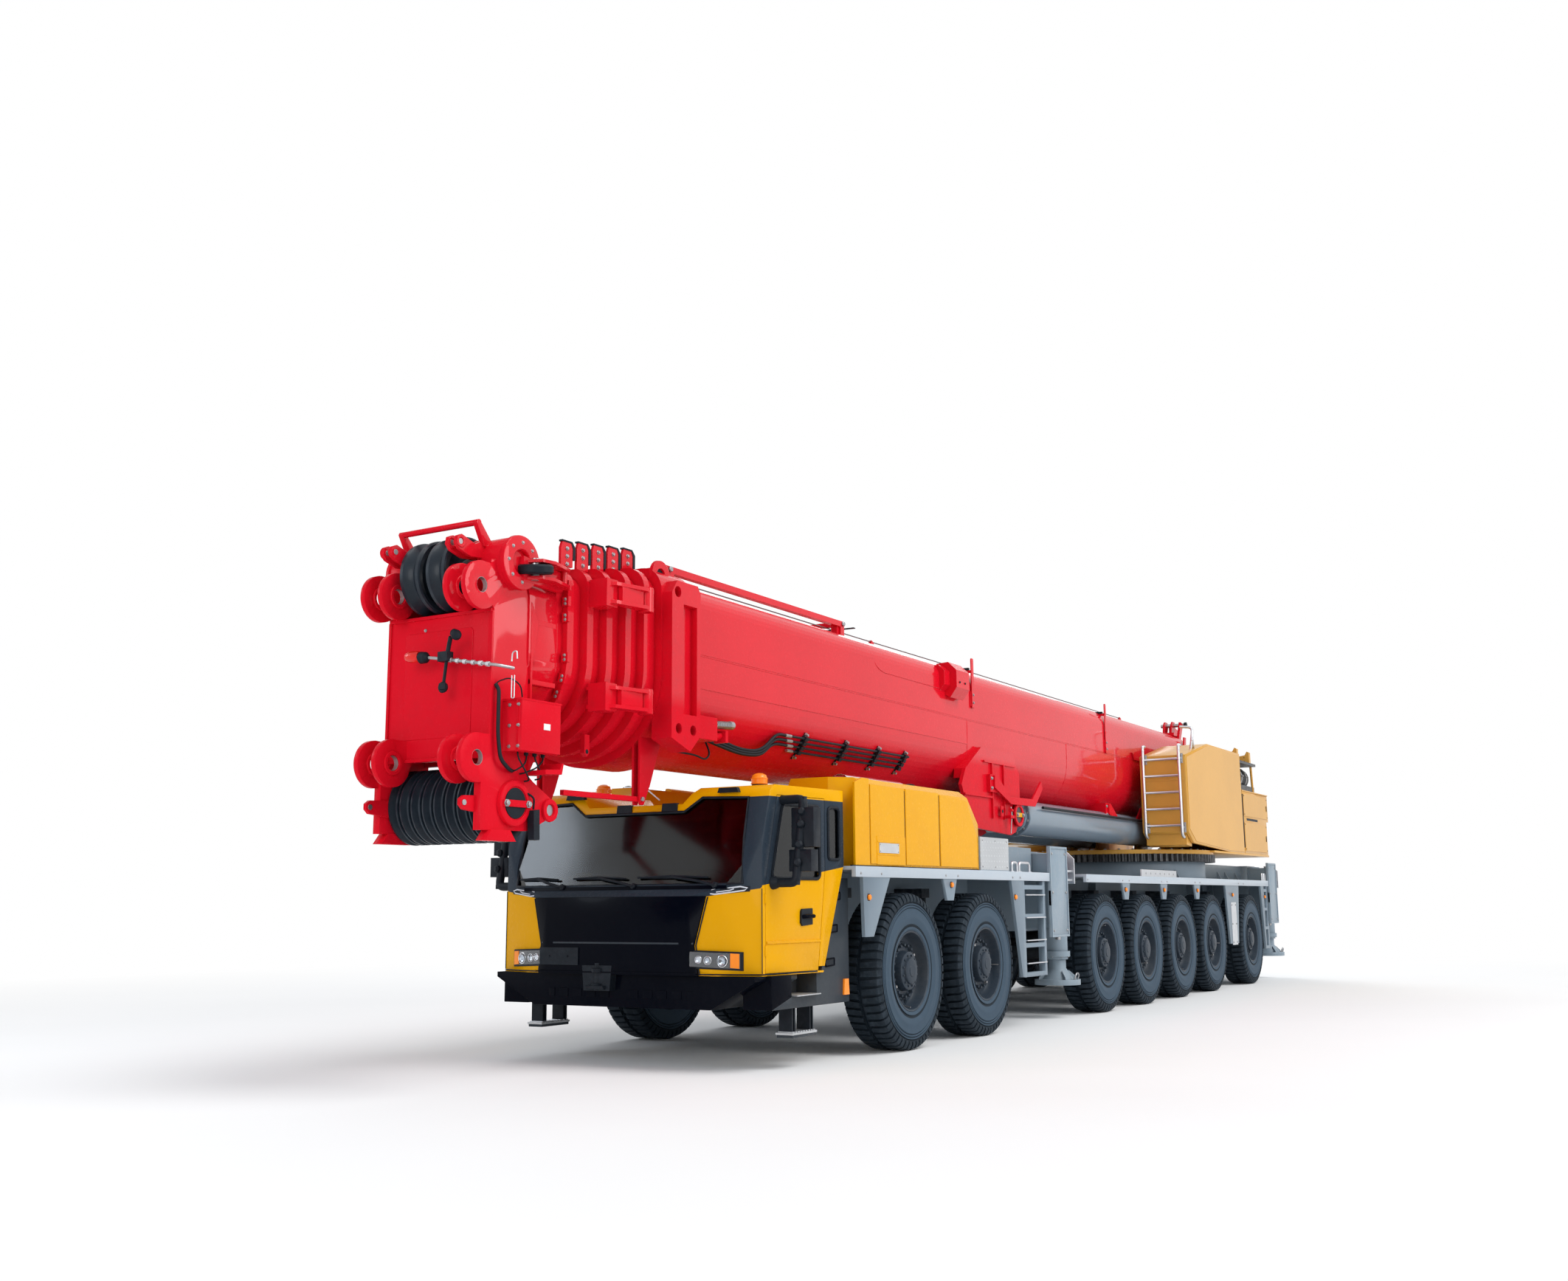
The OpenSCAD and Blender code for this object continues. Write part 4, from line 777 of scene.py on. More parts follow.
def cab_trim():
    black = Piece("cab_black_trim", "carrier", "trim_black", trim_plastic, black_paint, slate_paint_and_crease_highlight)
    tinted("cab_front", lambda x, y, z: x < 1.95 and abs(y) > 1.12, slate_paint_and_crease_highlight)
    for pivot, a, b in ((-0.60, -1.08, -0.66), (0.13, -0.50, 0.04), (0.92, 0.16, 0.84)):
        mid = (a + b) / 2
        on = lambda y, z, off: (screen_x(y, z) + off, y, z)
        black.add(turned([(0, 0.026), (0.03, 0.024), (0.036, 0.012)], on(pivot, 1.425, -0.005), (1, 0, 0.3), 12))
        black.add(run([on(pivot, 1.43, 0.026), on(pivot - 0.14, 1.462, 0.032), on(mid, 1.500, 0.026)], 0.011, 8,
                      0.05))
        black.add(run([on(a, 1.497, 0.013), on(mid, 1.507, 0.020), on(b, 1.492, 0.013)], 0.009, 6))
        black.add(slab([(a, 1.490), (b, 1.484), (b, 1.494), (a, 1.501)], "x", screen_x(0, 1.495),
                       screen_x(0, 1.495) + 0.010))
    black.add(wrapped(-1.02, 1.02, (1.400, 1.400), (1.428, 1.428), 0.012, 0.02, 24, screen_x), mat=1)
    # The strip along the nose's crease is in the lighter slate paint, a painted highlight on the crease.
    black.add(wrapped(-0.76, 0.76, (0.972, 0.972), (0.986, 0.986), 0.016, 0.01), mat=2)
    black.add(slab([(-0.76, 0.80), (-0.36, 0.80), (-0.36, 0.94), (-0.76, 0.94)], "x", 2.412, 2.424))
    for y in (-0.66, -0.47):
        black.add(bolt((2.424, y, 0.87), AHEAD, 0.008, 0.008))
    black.add(slab([(-0.80, 0.742), (-0.80, 0.752), (0.80, 0.752), (0.80, 0.742)], "x", 2.40, 2.424), mat=1)
    black.add(slab([(-0.30, 0.60), (-0.04, 0.60), (-0.02, 0.80), (-0.32, 0.80)], "x", 2.335, 2.418))
    for z in (0.625, 0.745):
        black.add(turned([(0, 0.05), (0.03, 0.055), (0.034, 0.04)], (2.40, -0.17, z), UP, 20))
    black.add(rod((2.40, -0.17, 0.60), (2.40, -0.17, 0.82), 0.026, 16))
    black.add(slab([(2.20, 0.612), (2.44, 0.612), (2.46, 0.640), (2.20, 0.66)], "y", -0.26, -0.08))
    for k in range(5):
        black.add(wrapped(0.10 + 0.14 * k, 0.19 + 0.14 * k, (0.545, 0.545), (0.610, 0.610), -0.055, 0.03, 3), True, 1)
    for dz, x in ((1.335, 1.16), (1.07, 1.215), (0.80, 1.27)):
        slot = [(x - 0.075, dz - 0.02), (x + 0.06, dz - 0.028), (x + 0.085, dz), (x + 0.06, dz + 0.03),
                (x - 0.075, dz + 0.036)]
        black.add(slab(slot, "y", 1.340, 1.352), True)
        black.add(run([(px, 1.352, pz) for px, pz in slot + slot[:1]], 0.007, 6), True, 1)
    for x in (1.505, 1.545, 1.785, 1.825):
        black.add(brick(x, x + 0.016, 1.200, 1.322, 0.27, 0.50), True)
    for y in (0.93, 0.36, -0.10, -0.62):
        black.add(slab([(y - 0.10, 2.165), (y + 0.10, 2.165), (y + 0.085, 2.205), (y - 0.085, 2.205)] if abs(y) > 0.5
                       else
                       [(y - 0.08, 2.03), (y + 0.08, 2.03), (y + 0.07, 2.10), (y - 0.07, 2.10)], "x", 2.125, 2.165))
    for x, y in BEACONS:
        black.add(turned([(0, 0.085), (0.03, 0.08), (0.034, 0.066), (0.05, 0.064)], (x, y, 2.218), UP, 28))
    black.done(0.004)
    dome = Piece("roof_beacons", "carrier", "cab_glass", amber_lens)
    for x, y in BEACONS:
        dome.add(turned([(0, 0.066), (0.006, 0.074), (0.012, 0.068), (0.045, 0.069), (0.050, 0.074), (0.056, 0.066),
                         (0.078, 0.058), (0.092, 0.035), (0.096, 0.01)],
                        (x, y, 2.262), UP, 28))
    dome.done()
    metal = Piece("cab_steps_plate", "carrier", "deck_silver", checker, aluminium)
    metal.add(brick(1.49, 1.87, 1.16, 1.392, 0.561, 0.570), True)
    metal.add(brick(1.482, 1.868, 1.185, 1.345, 0.262, 0.280), True)
    for k in range(9):
        metal.add(brick(1.495 + 0.041 * k, 1.520 + 0.041 * k, 1.195, 1.335, 0.280, 0.288), True, 1)
    metal.add(run([(1.05, 1.02, 2.19), (1.02, 1.02, 2.30), (1.02, 0.70, 2.33), (1.02, 0.55, 2.22)], 0.008, 6, 0.05),
              True, 1)
    metal.done(0.002)
    seam = Piece("cab_panel_seams", "carrier", "trim_black", trim_plastic)
    seam.add(run([(nose_x(0.86) + 0.002, 0.872, 1.338), (nose_x(0.772) + 0.002, 0.776, 0.965),
                  (nose_x(0.80) + 0.002, 0.806, 0.735)], 0.006, 6), True)
    seam.add(run([(nose_x(y) + 0.001, y, 0.742) for y in (0.80, 0.96, 1.29)] + [(1.50, side_y(1.5) + 0.001, 0.742)],
                 0.006, 6), True)
    seam.add(run([(2.232, side_y(2.232) + 0.001, z) for z in (0.75, 1.40)], 0.004, 6), True)
    corner = [(1.165, 1.64), (1.325, 1.64), (1.325, 2.07), (1.165, 2.07)]
    seam.add(run(rounded([(x, side_y(x) + 0.001, z) for x,
                          z in [(1.245, 1.64)] + corner[1:] + corner[:1] + [(1.245, 1.64)]], 0.05), 0.014, 6), True)
    seam.add(run([(screen_x(y, z) + 0.002, y, z) for y, z in ((-1.14, 1.44), (-1.05, 1.437), (1.05, 1.437),
            (1.14, 1.44), (1.125, 1.80), (1.112, 2.12), (0.67, 2.135),
                                                         (0.51, 2.025), (-0.51, 2.025), (-0.67, 2.135),
                                                         (-1.112, 2.12), (-1.125, 1.80), (-1.14, 1.44))], 0.011, 6))
    seam.done()


def cab_doors():
    for side, s in SIDES:
        body = "door_" + side
        node = NODES[body]
        node.data.materials.append(trim_plastic)
        for poly in node.data.polygons:
            if abs(poly.center.y) > side_y(poly.center.x - ROW) + 0.004:
                poly.material_index = 1
        trim = Piece("door_trim_" + side, body, "trim_black", trim_plastic, black_paint)
        flip = Matrix.Scale(s, 4, LEFT)
        pane_edge = [(1.78, 1.48), (2.11, 1.48), (1.96, 2.07), (1.45, 2.07), (1.45, 1.48), (1.78, 1.48)]
        hold = [(1.545, 1.115), (1.715, 1.105), (1.735, 1.13), (1.73, 1.225), (1.715, 1.24), (1.555, 1.245),
                (1.535, 1.22), (1.53, 1.14)]
        arm = [(2.085, side_y(2.085) - 0.01, 1.445), (2.085, 1.515, 1.445), (1.9625, 1.515, 2.10),
               (1.9625, side_y(1.9625) - 0.01, 2.10)]
        trim.add(grown(run(rounded([(x, side_y(x) + 0.001, z) for x, z in pane_edge], 0.05), 0.015, 6), flip))
        trim.add(grown(slab(hold, "y", side_y(1.635) - 0.012, side_y(1.635) + 0.008), flip))
        trim.add(grown(run([(1.555, side_y(1.555) + 0.010, 1.180), (1.585, side_y(1.585) + 0.032, 1.182),
                            (1.69, side_y(1.69) + 0.034, 1.180), (1.715, side_y(1.715) + 0.010, 1.176)],
                           0.017, 8, 0.02), flip), mat=1)
        trim.add(grown(run(arm, 0.037, 12, 0.05), flip))
        trim.add(grown(turned([(0, 0.055), (0.03, 0.05), (0.06, 0.036)], (2.085, side_y(2.085) - 0.004, 1.445), LEFT,
                              16), flip))
        for z in (1.60, 1.74, 1.90, 2.0):
            trim.add(grown(turned([(0, 0.03), (0.03, 0.034), (0.05, 0.02)], (2.105 - 0.187 * (z - 1.445), 1.525, z),
                                  (1, 0.3, 0), 12), flip))
        trim.done(0.003)
        crease = Piece("door_crease_" + side, body, "cab_yellow", cab_yellow)
        line = [(x, side_y(x)) for x in (1.46, 1.8, 2.178)]
        v = [(x, y + d, z) for x, y in line for d, z in ((-0.004, 1.000), (0.011, 0.990), (0.011, 0.975),
                                                         (-0.004, 0.968))]
        crease.add(grown((v, tube_faces(3, 4) + [(0, 1, 2, 3), (8, 9, 10, 11)]), flip))
        crease.done()


def driver_seats():
    """Sprung seats: a cushion and a tall back, both crowned, with sewn channels."""
    for side, s in SIDES:
        seat = Piece("driver_seat_" + side, "carrier", "interior_grey", seat_cloth)
        seat.add(cushion((1.725, s * 0.64, CAB_FLOOR + 0.362), (0.25, 0.30, 0.082), 2))
        seat.add(cushion((1.468, s * 0.64, CAB_FLOOR + 0.655), (0.076, 0.30, 0.405), 0))
        seat.add(cushion((1.468, s * 0.64, CAB_FLOOR + 1.10), (0.050, 0.145, 0.085), 0))
        seat.done()


cab_lamps()
cab_trim()
cab_doors()
driver_seats()


# Boom head
CHEEK, LUG_X = 0.50, 4.63
LOWER_PIN = (4.26, 1.985)


def lug_details():
    """Rims round the fork bores, retaining ears, pad bolts and the panel line of the head."""
    red = Piece("head_red_fittings", "boom_head", "boom_red", boom_red)
    steel = Piece("head_steel_fittings", "boom_head", "winch_steel", bare_steel)
    for z in (2.28, 3.48):
        for y0, y1 in ((0.29, 0.33), (0.46, 0.50)):
            for y, way in ((y0, -1), (y1, 1)):
                if y < CHEEK:
                    red.add(ring([(0, 0.088), (way * 0.012, 0.084), (way * 0.012, 0.060), (0, 0.0555)], (LUG_X, y, z),
                                 LEFT, 32), True)
            steel.add(ring([(y0 + 0.002, 0.0553), (y1 - 0.002, 0.0553), (y1 - 0.002, 0.0515), (y0 + 0.002, 0.0515)],
                           (LUG_X, 0, z), LEFT, 32), True)
    for y0, y1 in ((0.255, 0.285), (0.335, 0.365)):
        ear = [(4.60, 3.70), (4.72, 3.735), (4.755, 3.775), (4.745, 3.825), (4.70, 3.845), (4.56, 3.80), (4.44, 3.86),
               (4.40, 3.72)]
        red.add(slab(ear, "y", y0, y1), True)
        red.add(ring([(0, 0.045), (0.008, 0.043), (0.008, 0.026), (0, 0.022)], (4.71, y1, 3.79), LEFT, 20), True)
        steel.add(turned([(0, 0.021), (0.031, 0.021)], (4.71, y0 - 0.0005, 3.79), LEFT, 16), True)
    red.add(ring([(0, 0.200), (0.03, 0.196), (0.036, 0.18), (0.036, 0.10), (0.028, 0.09), (0, 0.09)],
                 (4.30, 0.54, 3.69), LEFT, 40), True)
    for a in circle(8):
        steel.add(bolt((4.30 + 0.145 * math.cos(a), 0.574, 3.69 + 0.145 * math.sin(a)), LEFT, 0.011, 0.011), True)
    red.add(slab([(-0.31, 2.45), (0.29, 2.45), (0.31, 2.47), (0.31, 3.20), (0.29, 3.22), (-0.31, 3.22), (-0.33, 3.20),
                  (-0.33, 2.47)], "x", 4.498, 4.5045))
    for z in (2.30, 3.325):
        red.add(brick(4.495, 4.516, -0.49, 0.49, z - 0.012, z + 0.012))
    for y in (-0.487, 0.487):
        red.add(brick(4.495, 4.512, y - 0.012, y + 0.012, 2.30, 3.32))
    steel.add(bolt((4.504, -0.14, 3.235), AHEAD, 0.010, 0.01))
    # pin plates at the lower sheaves
    red.add(ring([(0, 0.165), (0.028, 0.160), (0.034, 0.15), (0.034, 0.118), (0, 0.112)],
                 (LOWER_PIN[0], CHEEK, LOWER_PIN[1]), LEFT, 40), True)
    red.add(brick(4.12, 4.40, 0.527, 0.548, 1.958, 2.006), True)
    for x in (4.145, 4.375):
        steel.add(bolt((x, 0.548, 1.982), LEFT, 0.021, 0.02), True)
    red.add(slab([(4.46, 1.90), (4.70, 1.925), (4.735, 1.955), (4.735, 1.995), (4.70, 2.02), (4.46, 2.03)], "y",
                 0.425, 0.455), True)
    steel.add(turned([(0, 0.02), (0.04, 0.02)], (4.70, 0.42, 1.972), LEFT, 16), True)
    for z in (1.94, 1.99):
        steel.add(bolt((4.50, 0.456, z), LEFT, 0.012, 0.012), True)
    red.add(ring([(0, 0.085), (0.02, 0.08), (0.02, 0.045), (0, 0.04)], (3.865, CHEEK, 1.955), LEFT, 28), True)
    steel.add(turned([(0, 0.04), (0.004, 0.04)], (3.865, CHEEK, 1.955), LEFT, 20), True)
    red.add(slab([(4.10, 2.19), (4.10, 2.225), (3.94, 2.235), (3.92, 2.28), (3.90, 2.28), (3.92, 2.20)], "y", 0.44,
                 0.66))
    # stiffeners on the neck
    for z, t in ((3.30, 0.02), (2.86, 0.018), (2.42, 0.02)):
        red.add(slab([(3.84, z - t), (4.12, z - t), (4.12, z + t), (3.84, z + t)], "y", 0.40, 0.515), True)
    red.add(slab([(4.02, 2.36), (4.12, 2.20), (4.12, 3.44), (4.04, 3.30), (4.10, 3.0), (4.10, 2.7)], "y", 0.497,
                 0.520), True)
    red.done(0.004)
    steel.done(0.0015)


def head_sheaves():
    """Grooved rope sheaves: two wide ones on top, eight below."""
    grip = 0.27
    for name, body, at, places in (
            ("top_rope_sheaves", "top_sheaves", (4.44, 0, 3.62), ((-0.125, 0.19), (0.125, 0.19))),
            ("lower_rope_sheaves", "lower_sheaves", (LOWER_PIN[0], 0, LOWER_PIN[1]),
             tuple((-0.378 + 0.108 * k, 0.098) for k in range(8)))):
        p = Piece(name, body, "sheave_black", sheave_nylon, bare_steel)
        for y, w in places:
            h = w / 2
            rim = [(-h, 0.070), (-h * 0.92, 0.105), (-h * 0.55, 0.125), (-h * 0.50, 0.190), (-h * 0.85, 0.215),
                   (-h * 0.97, 0.255), (-h * 0.90, grip - 0.001),
                   (-h * 0.62, grip), (-h * 0.30, 0.232), (0, 0.222), (h * 0.30, 0.232), (h * 0.62, grip),
                   (h * 0.90, grip - 0.001), (h * 0.97, 0.255),
                   (h * 0.85, 0.215), (h * 0.50, 0.190), (h * 0.55, 0.125), (h * 0.92, 0.105), (h, 0.070)]
            p.add(ring([(y + a, r) for a, r in rim], at, LEFT, 64))
            for s in (-1, 1):
                p.add(ring([(y + s * h * 0.93, 0.098), (y + s * h * 1.0, 0.096), (y + s * h * 1.0, 0.070),
                            (y + s * h * 0.93, 0.068)], at, LEFT, 40), mat=1)
        if len(places) == 2:
            p.add(ring([(-0.262, 0.108), (0.262, 0.108), (0.262, 0.0625), (-0.262, 0.0625)], at, LEFT, 40), mat=1)
        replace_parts(p.done(), body)


def head_sensors():
    """Anemometer, warning light, junction box and guide rollers."""
    dark = Piece("head_dark_fittings", "boom_head", "sheave_black", trim_plastic)
    bright = Piece("anemometer_rod", "boom_head", "rod_chrome", bare_steel, aluminium)
    lamp = Piece("head_lamp", "boom_head", "cab_glass", red_lens)
    dark.add(turned([(0, 0.034), (0.006, 0.030)], (4.5045, 0.13, 3.19), AHEAD, 24))
    bright.add(run([(4.44, 0.64, 2.905), (4.56, 0.60, 2.915), (4.63, 0.10, 2.995), (4.635, 0.0, 3.01)], 0.012, 10,
                   0.05))
    for t in (0.12, 0.24, 0.36, 0.5, 0.62, 0.74):
        bright.add(ring([(-0.012, 0.019), (0.012, 0.019), (0.012, 0.011), (-0.012, 0.011)],
                        (4.565 + 0.065 * t, 0.58 - 0.5 * t, 2.918 + 0.078 * t), (0.065, -0.5, 0.078), 10), mat=1)
    bright.add(run([(4.43, 0.61, 2.955), (4.43, 0.615, 3.02), (4.43, 0.655, 3.03), (4.43, 0.66, 2.97)], 0.006, 6,
                   0.03), mat=1)
    bright.add(run([(4.42, 0.63, 2.86), (4.42, 0.63, 2.70), (4.42, 0.605, 2.70), (4.42, 0.605, 2.86)], 0.005, 6,
                   0.01), mat=1)
    lamp.add(turned([(0, 0.036), (0.02, 0.042), (0.085, 0.042), (0.12, 0.030), (0.135, 0.010)], (4.64, -0.055, 3.02),
                    (0.02, -1, 0.05), 24))
    dark.add(turned([(0, 0.018), (0.025, 0.040), (0.07, 0.044), (0.075, 0.036)], (4.636, 0.025, 3.008),
                    (0.02, -1, 0.05), 20))
    dark.add(brick(4.595, 4.66, 0.13, 0.22, 2.965, 3.035))
    dark.add(run([(4.64, 0.20, 2.99), (4.64, 0.22, 3.09), (4.66, 0.25, 3.13)], 0.016, 8, 0.03))
    dark.add(turned([(0, 0.01), (0.012, 0.034), (0.03, 0.040), (0.05, 0.032), (0.06, 0.008)], (4.66, 0.28, 3.135),
                    (0.3, 1, 0.1), 16))
    dark.add(run([(4.63, 0.19, 2.98), (4.63, 0.17, 2.82)], 0.012, 8))
    dark.add(turned([(0, 0.034), (0.02, 0.042), (0.03, 0.034)], (4.615, 0.165, 2.785), AHEAD, 20))
    dark.add(slab([(0.145, 2.768), (0.205, 2.768), (0.205, 2.812), (0.145, 2.812)], "x", 4.645, 4.655))
    dark.add(turned([(0, 0.109), (0.006, 0.107)], (LOWER_PIN[0], CHEEK + 0.025, LOWER_PIN[1]), LEFT, 40), True)
    # guide roller between the arms
    dark.add(ring([(-0.035, 0.118), (-0.02, 0.132), (0.02, 0.132), (0.035, 0.118), (0.035, 0.03), (-0.035, 0.03)],
                  (4.19, 0.60, 3.655), (0.15, 0.1, 1), 36), True)
    dark.add(slab([(4.05, 1.735), (4.11, 1.735), (4.12, 1.94), (4.055, 1.95)], "y", 0.515, 0.575))
    dark.add(run([(4.09, 0.545, 1.95), (4.10, 0.56, 2.03), (4.14, 0.53, 2.06)], 0.008, 6, 0.03))
    for k in range(3):
        dark.add(turned([(0, 0.016), (0.03, 0.016)], (4.03 + 0.09 * k, 0.57, 2.318), UP, 12))
    bolts = Piece("junction_box_fittings", "boom_head", "winch_steel", bare_steel, blank_label, boom_red)
    for z in (2.37, 2.515, 2.66):
        bolts.add(bolt((4.381, 0.56, z), AHEAD, 0.011, 0.012))
        bolts.add(bolt((4.381, 0.64, z), AHEAD, 0.011, 0.012))
    bolts.add(slab([(4.075, 2.50), (4.145, 2.50), (4.145, 2.545), (4.075, 2.545)], "y", 0.669, 0.674), mat=1)
    bolts.add(slab([(3.953, 2.333), (4.387, 2.333), (4.387, 2.697), (3.953, 2.697)], "y", 0.625, 0.640), mat=2)
    bolts.add(slab([(3.952, 2.69), (4.388, 2.69), (4.388, 2.705), (3.952, 2.705)], "y", 0.50, 0.672), mat=2)
    # forked arm of the guide roller
    for dz in (-0.062, 0.062):
        arm = [(4.27, 0.53), (4.20, 0.68), (4.08, 0.70), (3.83, 0.63), (3.79, 0.585), (3.83, 0.54)]
        bolts.add(slab(arm, "z", 3.650 + dz - 0.012, 3.650 + dz + 0.012), True, 2)
    bolts.add(rod((4.19, 0.60, 3.575), (4.19, 0.60, 3.735), 0.03), True)
    bolts.add(rod((3.85, 0.585, 3.580), (3.85, 0.585, 3.725), 0.028), True, 2)
    for p in (dark, bright, lamp, bolts):
        p.done(0.002)


def head_cables():
    """Cables of the junction box and the hose down the cheek, all fixed at both ends."""
    hose("cheek_hose", "boom_head", [(4.47, 0.505, 2.80), (4.47, 0.535, 2.76), (4.475, 0.540, 2.45),
                                     (4.45, 0.545, 2.28), (4.36, 0.545, 2.215), (4.28, 0.505, 2.21)], 0.014, 0.06)
    for k, (x, dx, drop) in enumerate(((4.03, 0.16, 0.10), (4.12, -0.10, 0.13), (4.21, 0.08, 0.09),
                                       (4.30, -0.16, 0.15))):
        hose(f"box_cable_{k + 1}", "boom_head", [
            (x, 0.57, 2.342), (x, 0.575, 2.30), (x + dx * 0.5, 0.59, 2.34 - drop), (x + dx, 0.545, 2.30 - drop),
            (x + dx, 0.495, 2.295 - drop)], 0.006, 0.04)
    hose("box_top_cable", "boom_head", [
        (4.30, 0.60, 2.695), (4.30, 0.60, 2.73), (4.34, 0.62, 2.80), (4.41, 0.58, 2.85), (4.46, 0.52, 2.82),
        (4.47, 0.507, 2.80)], 0.005, 0.04)


lug_details()
head_sheaves()
head_sensors()
head_cables()


# Boom and telescopic sections
SECTION_FRONT = [2.80 + 0.19 * k for k in range(6)]
LIFT_PIN = (-4.44, 0.735, 2.29)


def flank(z, half=0.66, off=0.0):
    """How far out the boom's side lies at a height: a half round below, an upright wall above."""
    return off + (half if z > 3.08 else math.sqrt(max(half * half - (3.08 - z) ** 2, 0.0)))


def boom_plates():
    """Weld seams, stiffeners, rail posts, brackets and guards of the base section."""
    red = Piece("boom_red_fittings", "boom", "boom_red", boom_red)
    steel = Piece("boom_bolts", "boom", "winch_steel", bare_steel)
    dark = Piece("boom_dark_fittings", "boom", "sheave_black", trim_plastic)
    for z, x0, x1 in ((3.315, -11.4, 2.36), (3.30, -11.4, 2.36), (3.03, -3.2, 2.36)):
        red.add(brick(x0, x1, 0.655, 0.6635, z - 0.004, z + 0.004), True)
    for x in (-3.2, -6.35):
        red.add(run([(x - 0.1 * max(0.0, 3.0 - z), flank(z), z) for z in (3.30, 3.1, 3.0, 2.9, 2.8, 2.7, 2.6)], 0.005,
                    6), True)
    # lift bracket: ribs, cap, keeper and lashing eye
    for x in (-3.72, -4.06):
        red.add(brick(x - 0.012, x + 0.012, 0.69, 0.735, 2.22, 2.86), True)
    for x0, x1, z in ((-4.42, -3.50, 2.86), (-3.72, -2.95, 2.46)):
        red.add(brick(x0, x1, 0.68, 0.732, z - 0.012, z + 0.012), True)
    # guard arms beside the lift cylinders
    for x, z, y in ((-3.69, 2.615, 0.735), (-8.02, 2.52, 0.60)):
        red.add(brick(x - 0.10, x + 0.10, min(y - 0.01, flank(z) - 0.06), y + 0.022, z - 0.10, z + 0.10), True)
        for dx in (-0.06, 0.06):
            for dz in (-0.055, 0.055):
                steel.add(bolt((x + dx, y + 0.022, z + dz), LEFT, 0.017, 0.016), True)
        arm = [(x + 0.02, z + 0.09), (x - 0.06, z + 0.09), (x - 0.43, z - 0.13), (x - 1.12, z - 0.12),
               (x - 1.42, z + 0.11), (x - 1.46, z + 0.02),
               (x - 1.20, z - 0.205), (x - 0.45, z - 0.215), (x + 0.02, z - 0.05)]
        red.add(slab(arm, "y", y + 0.022, y + 0.046), True)
        red.add(slab([(x - 0.43, z - 0.205), (x - 1.18, z - 0.195), (x - 1.18, z - 0.18), (x - 0.43, z - 0.19)], "y",
                     y - 0.05, y + 0.03), True)
    red.add(ring([(0, 0.14), (0.022, 0.134), (0.022, 0.098), (0, 0.092)], LIFT_PIN, LEFT, 36), True)
    keeper = Piece("lift_pin_keepers", "boom", "cab_yellow", cab_yellow, bare_steel, greased_steel)
    keeper.add(turned([(0, 0.095), (0.010, 0.095)], LIFT_PIN, LEFT, 32), True, 2)
    keeper.add(brick(-4.55, -4.33, 0.744, 0.762, 2.265, 2.315), True)
    for dx in (-0.085, 0.085):
        keeper.add(bolt((LIFT_PIN[0] + dx, 0.762, LIFT_PIN[2]), LEFT, 0.02, 0.02), True, 1)
    keeper.done(0.002)
    red.add(slab([(-3.98, 2.25), (-3.90, 2.25), (-3.90, 2.37), (-3.98, 2.37)], "y", 0.735, 0.75), True)
    dark.add(turned([(0, 0.02), (0.004, 0.02)], (-3.94, 0.75, 2.31), LEFT, 16), True)
    red.add(brick(-4.18, -4.06, 0.735, 0.80, 2.235, 2.27), True)
    red.add(run([(-4.17, 0.77, 2.33), (-4.07, 0.79, 2.33)], 0.022, 10), True)
    steel.add(run([(-4.13, 0.775, 2.37), (-4.13, 0.785, 2.28), (-4.12, 0.77, 2.06)], 0.007, 6), True)
    # posts and hooks on top
    for x, z0, z1, y in ((-3.35, 3.45, 4.02, 0.668), (-7.9, 3.30, 3.99, 0.668)):
        red.add(slab([(x - 0.03, z0), (x + 0.03, z0), (x + 0.03, z1 - 0.02), (x + 0.02, z1), (x - 0.02, z1),
                      (x - 0.03, z1 - 0.02)], "y", y, y + 0.014), True)
        red.add(brick(x - 0.012, x + 0.012, 0.28, y + 0.005, z1 - 0.165, z1 - 0.135), True)
        dark.add(brick(x - 0.018, x + 0.018, 0.02, y - 0.03, z1 - 0.135, z1 - 0.105), True)
        for dz in (0.06, 0.15):
            steel.add(bolt((x, y + 0.014, z0 + dz), LEFT, 0.013, 0.012), True)
        red.add(brick(x - 0.045, x + 0.045, 0.65, y + 0.002, z0 + 0.02, z0 + 0.19), True)
    for x in (-1.55, -9.6):
        red.add(slab([(x + 0.06, 3.885), (x - 0.10, 3.885), (x - 0.03, 3.985), (x + 0.01, 4.0), (x + 0.02, 3.97)],
                     "y", 0.30, 0.335))
    red.add(slab([(0.50, 3.87), (0.70, 3.885), (0.80, 3.79), (0.80, 3.60), (0.72, 3.49), (0.64, 3.53)], "x", -2.98,
                 -2.64), True)
    red.add(slab([(0.55, 3.84), (0.65, 3.84), (0.72, 3.77), (0.72, 3.62), (0.65, 3.55), (0.60, 3.6)], "x", -2.66,
                 -2.50), True)
    for x in (-2.72, -2.86):
        dark.add(turned([(0, 0.011), (0.01, 0.011)], (x, 0.801, 3.66), LEFT, 12), True)
    # long fold on the flank near the foot
    red.add(slab([(-9.02, 3.40), (-9.10, 3.30), (-11.4, 3.285), (-11.4, 3.33), (-9.12, 3.345), (-9.06, 3.41)], "y",
                 0.64, 0.685), True)
    red.add(run([(-0.60, 0.40, 3.90), (-0.72, 0.58, 3.86), (-0.86, 0.645, 3.76), (-1.02, 0.66, 3.62),
                 (-1.15, 0.66, 3.585), (-3.0, 0.66, 3.575)], 0.007, 6, 0.1), True)
    # bar under the collars, with its hinge
    red.add(brick(2.77, 3.70, 0.462, 0.498, 2.075, 2.115), True)
    hanger = [(2.50, 2.60), (2.795, 2.60), (2.795, 2.10), (2.78, 2.05), (2.74, 2.05), (2.66, 2.20)]
    for y in (0.44, 0.50):
        red.add(slab(hanger, "y", y, y + 0.02), True)
    steel.add(rod((2.765, 0.43, 2.095), (2.765, 0.535, 2.095), 0.018), True)
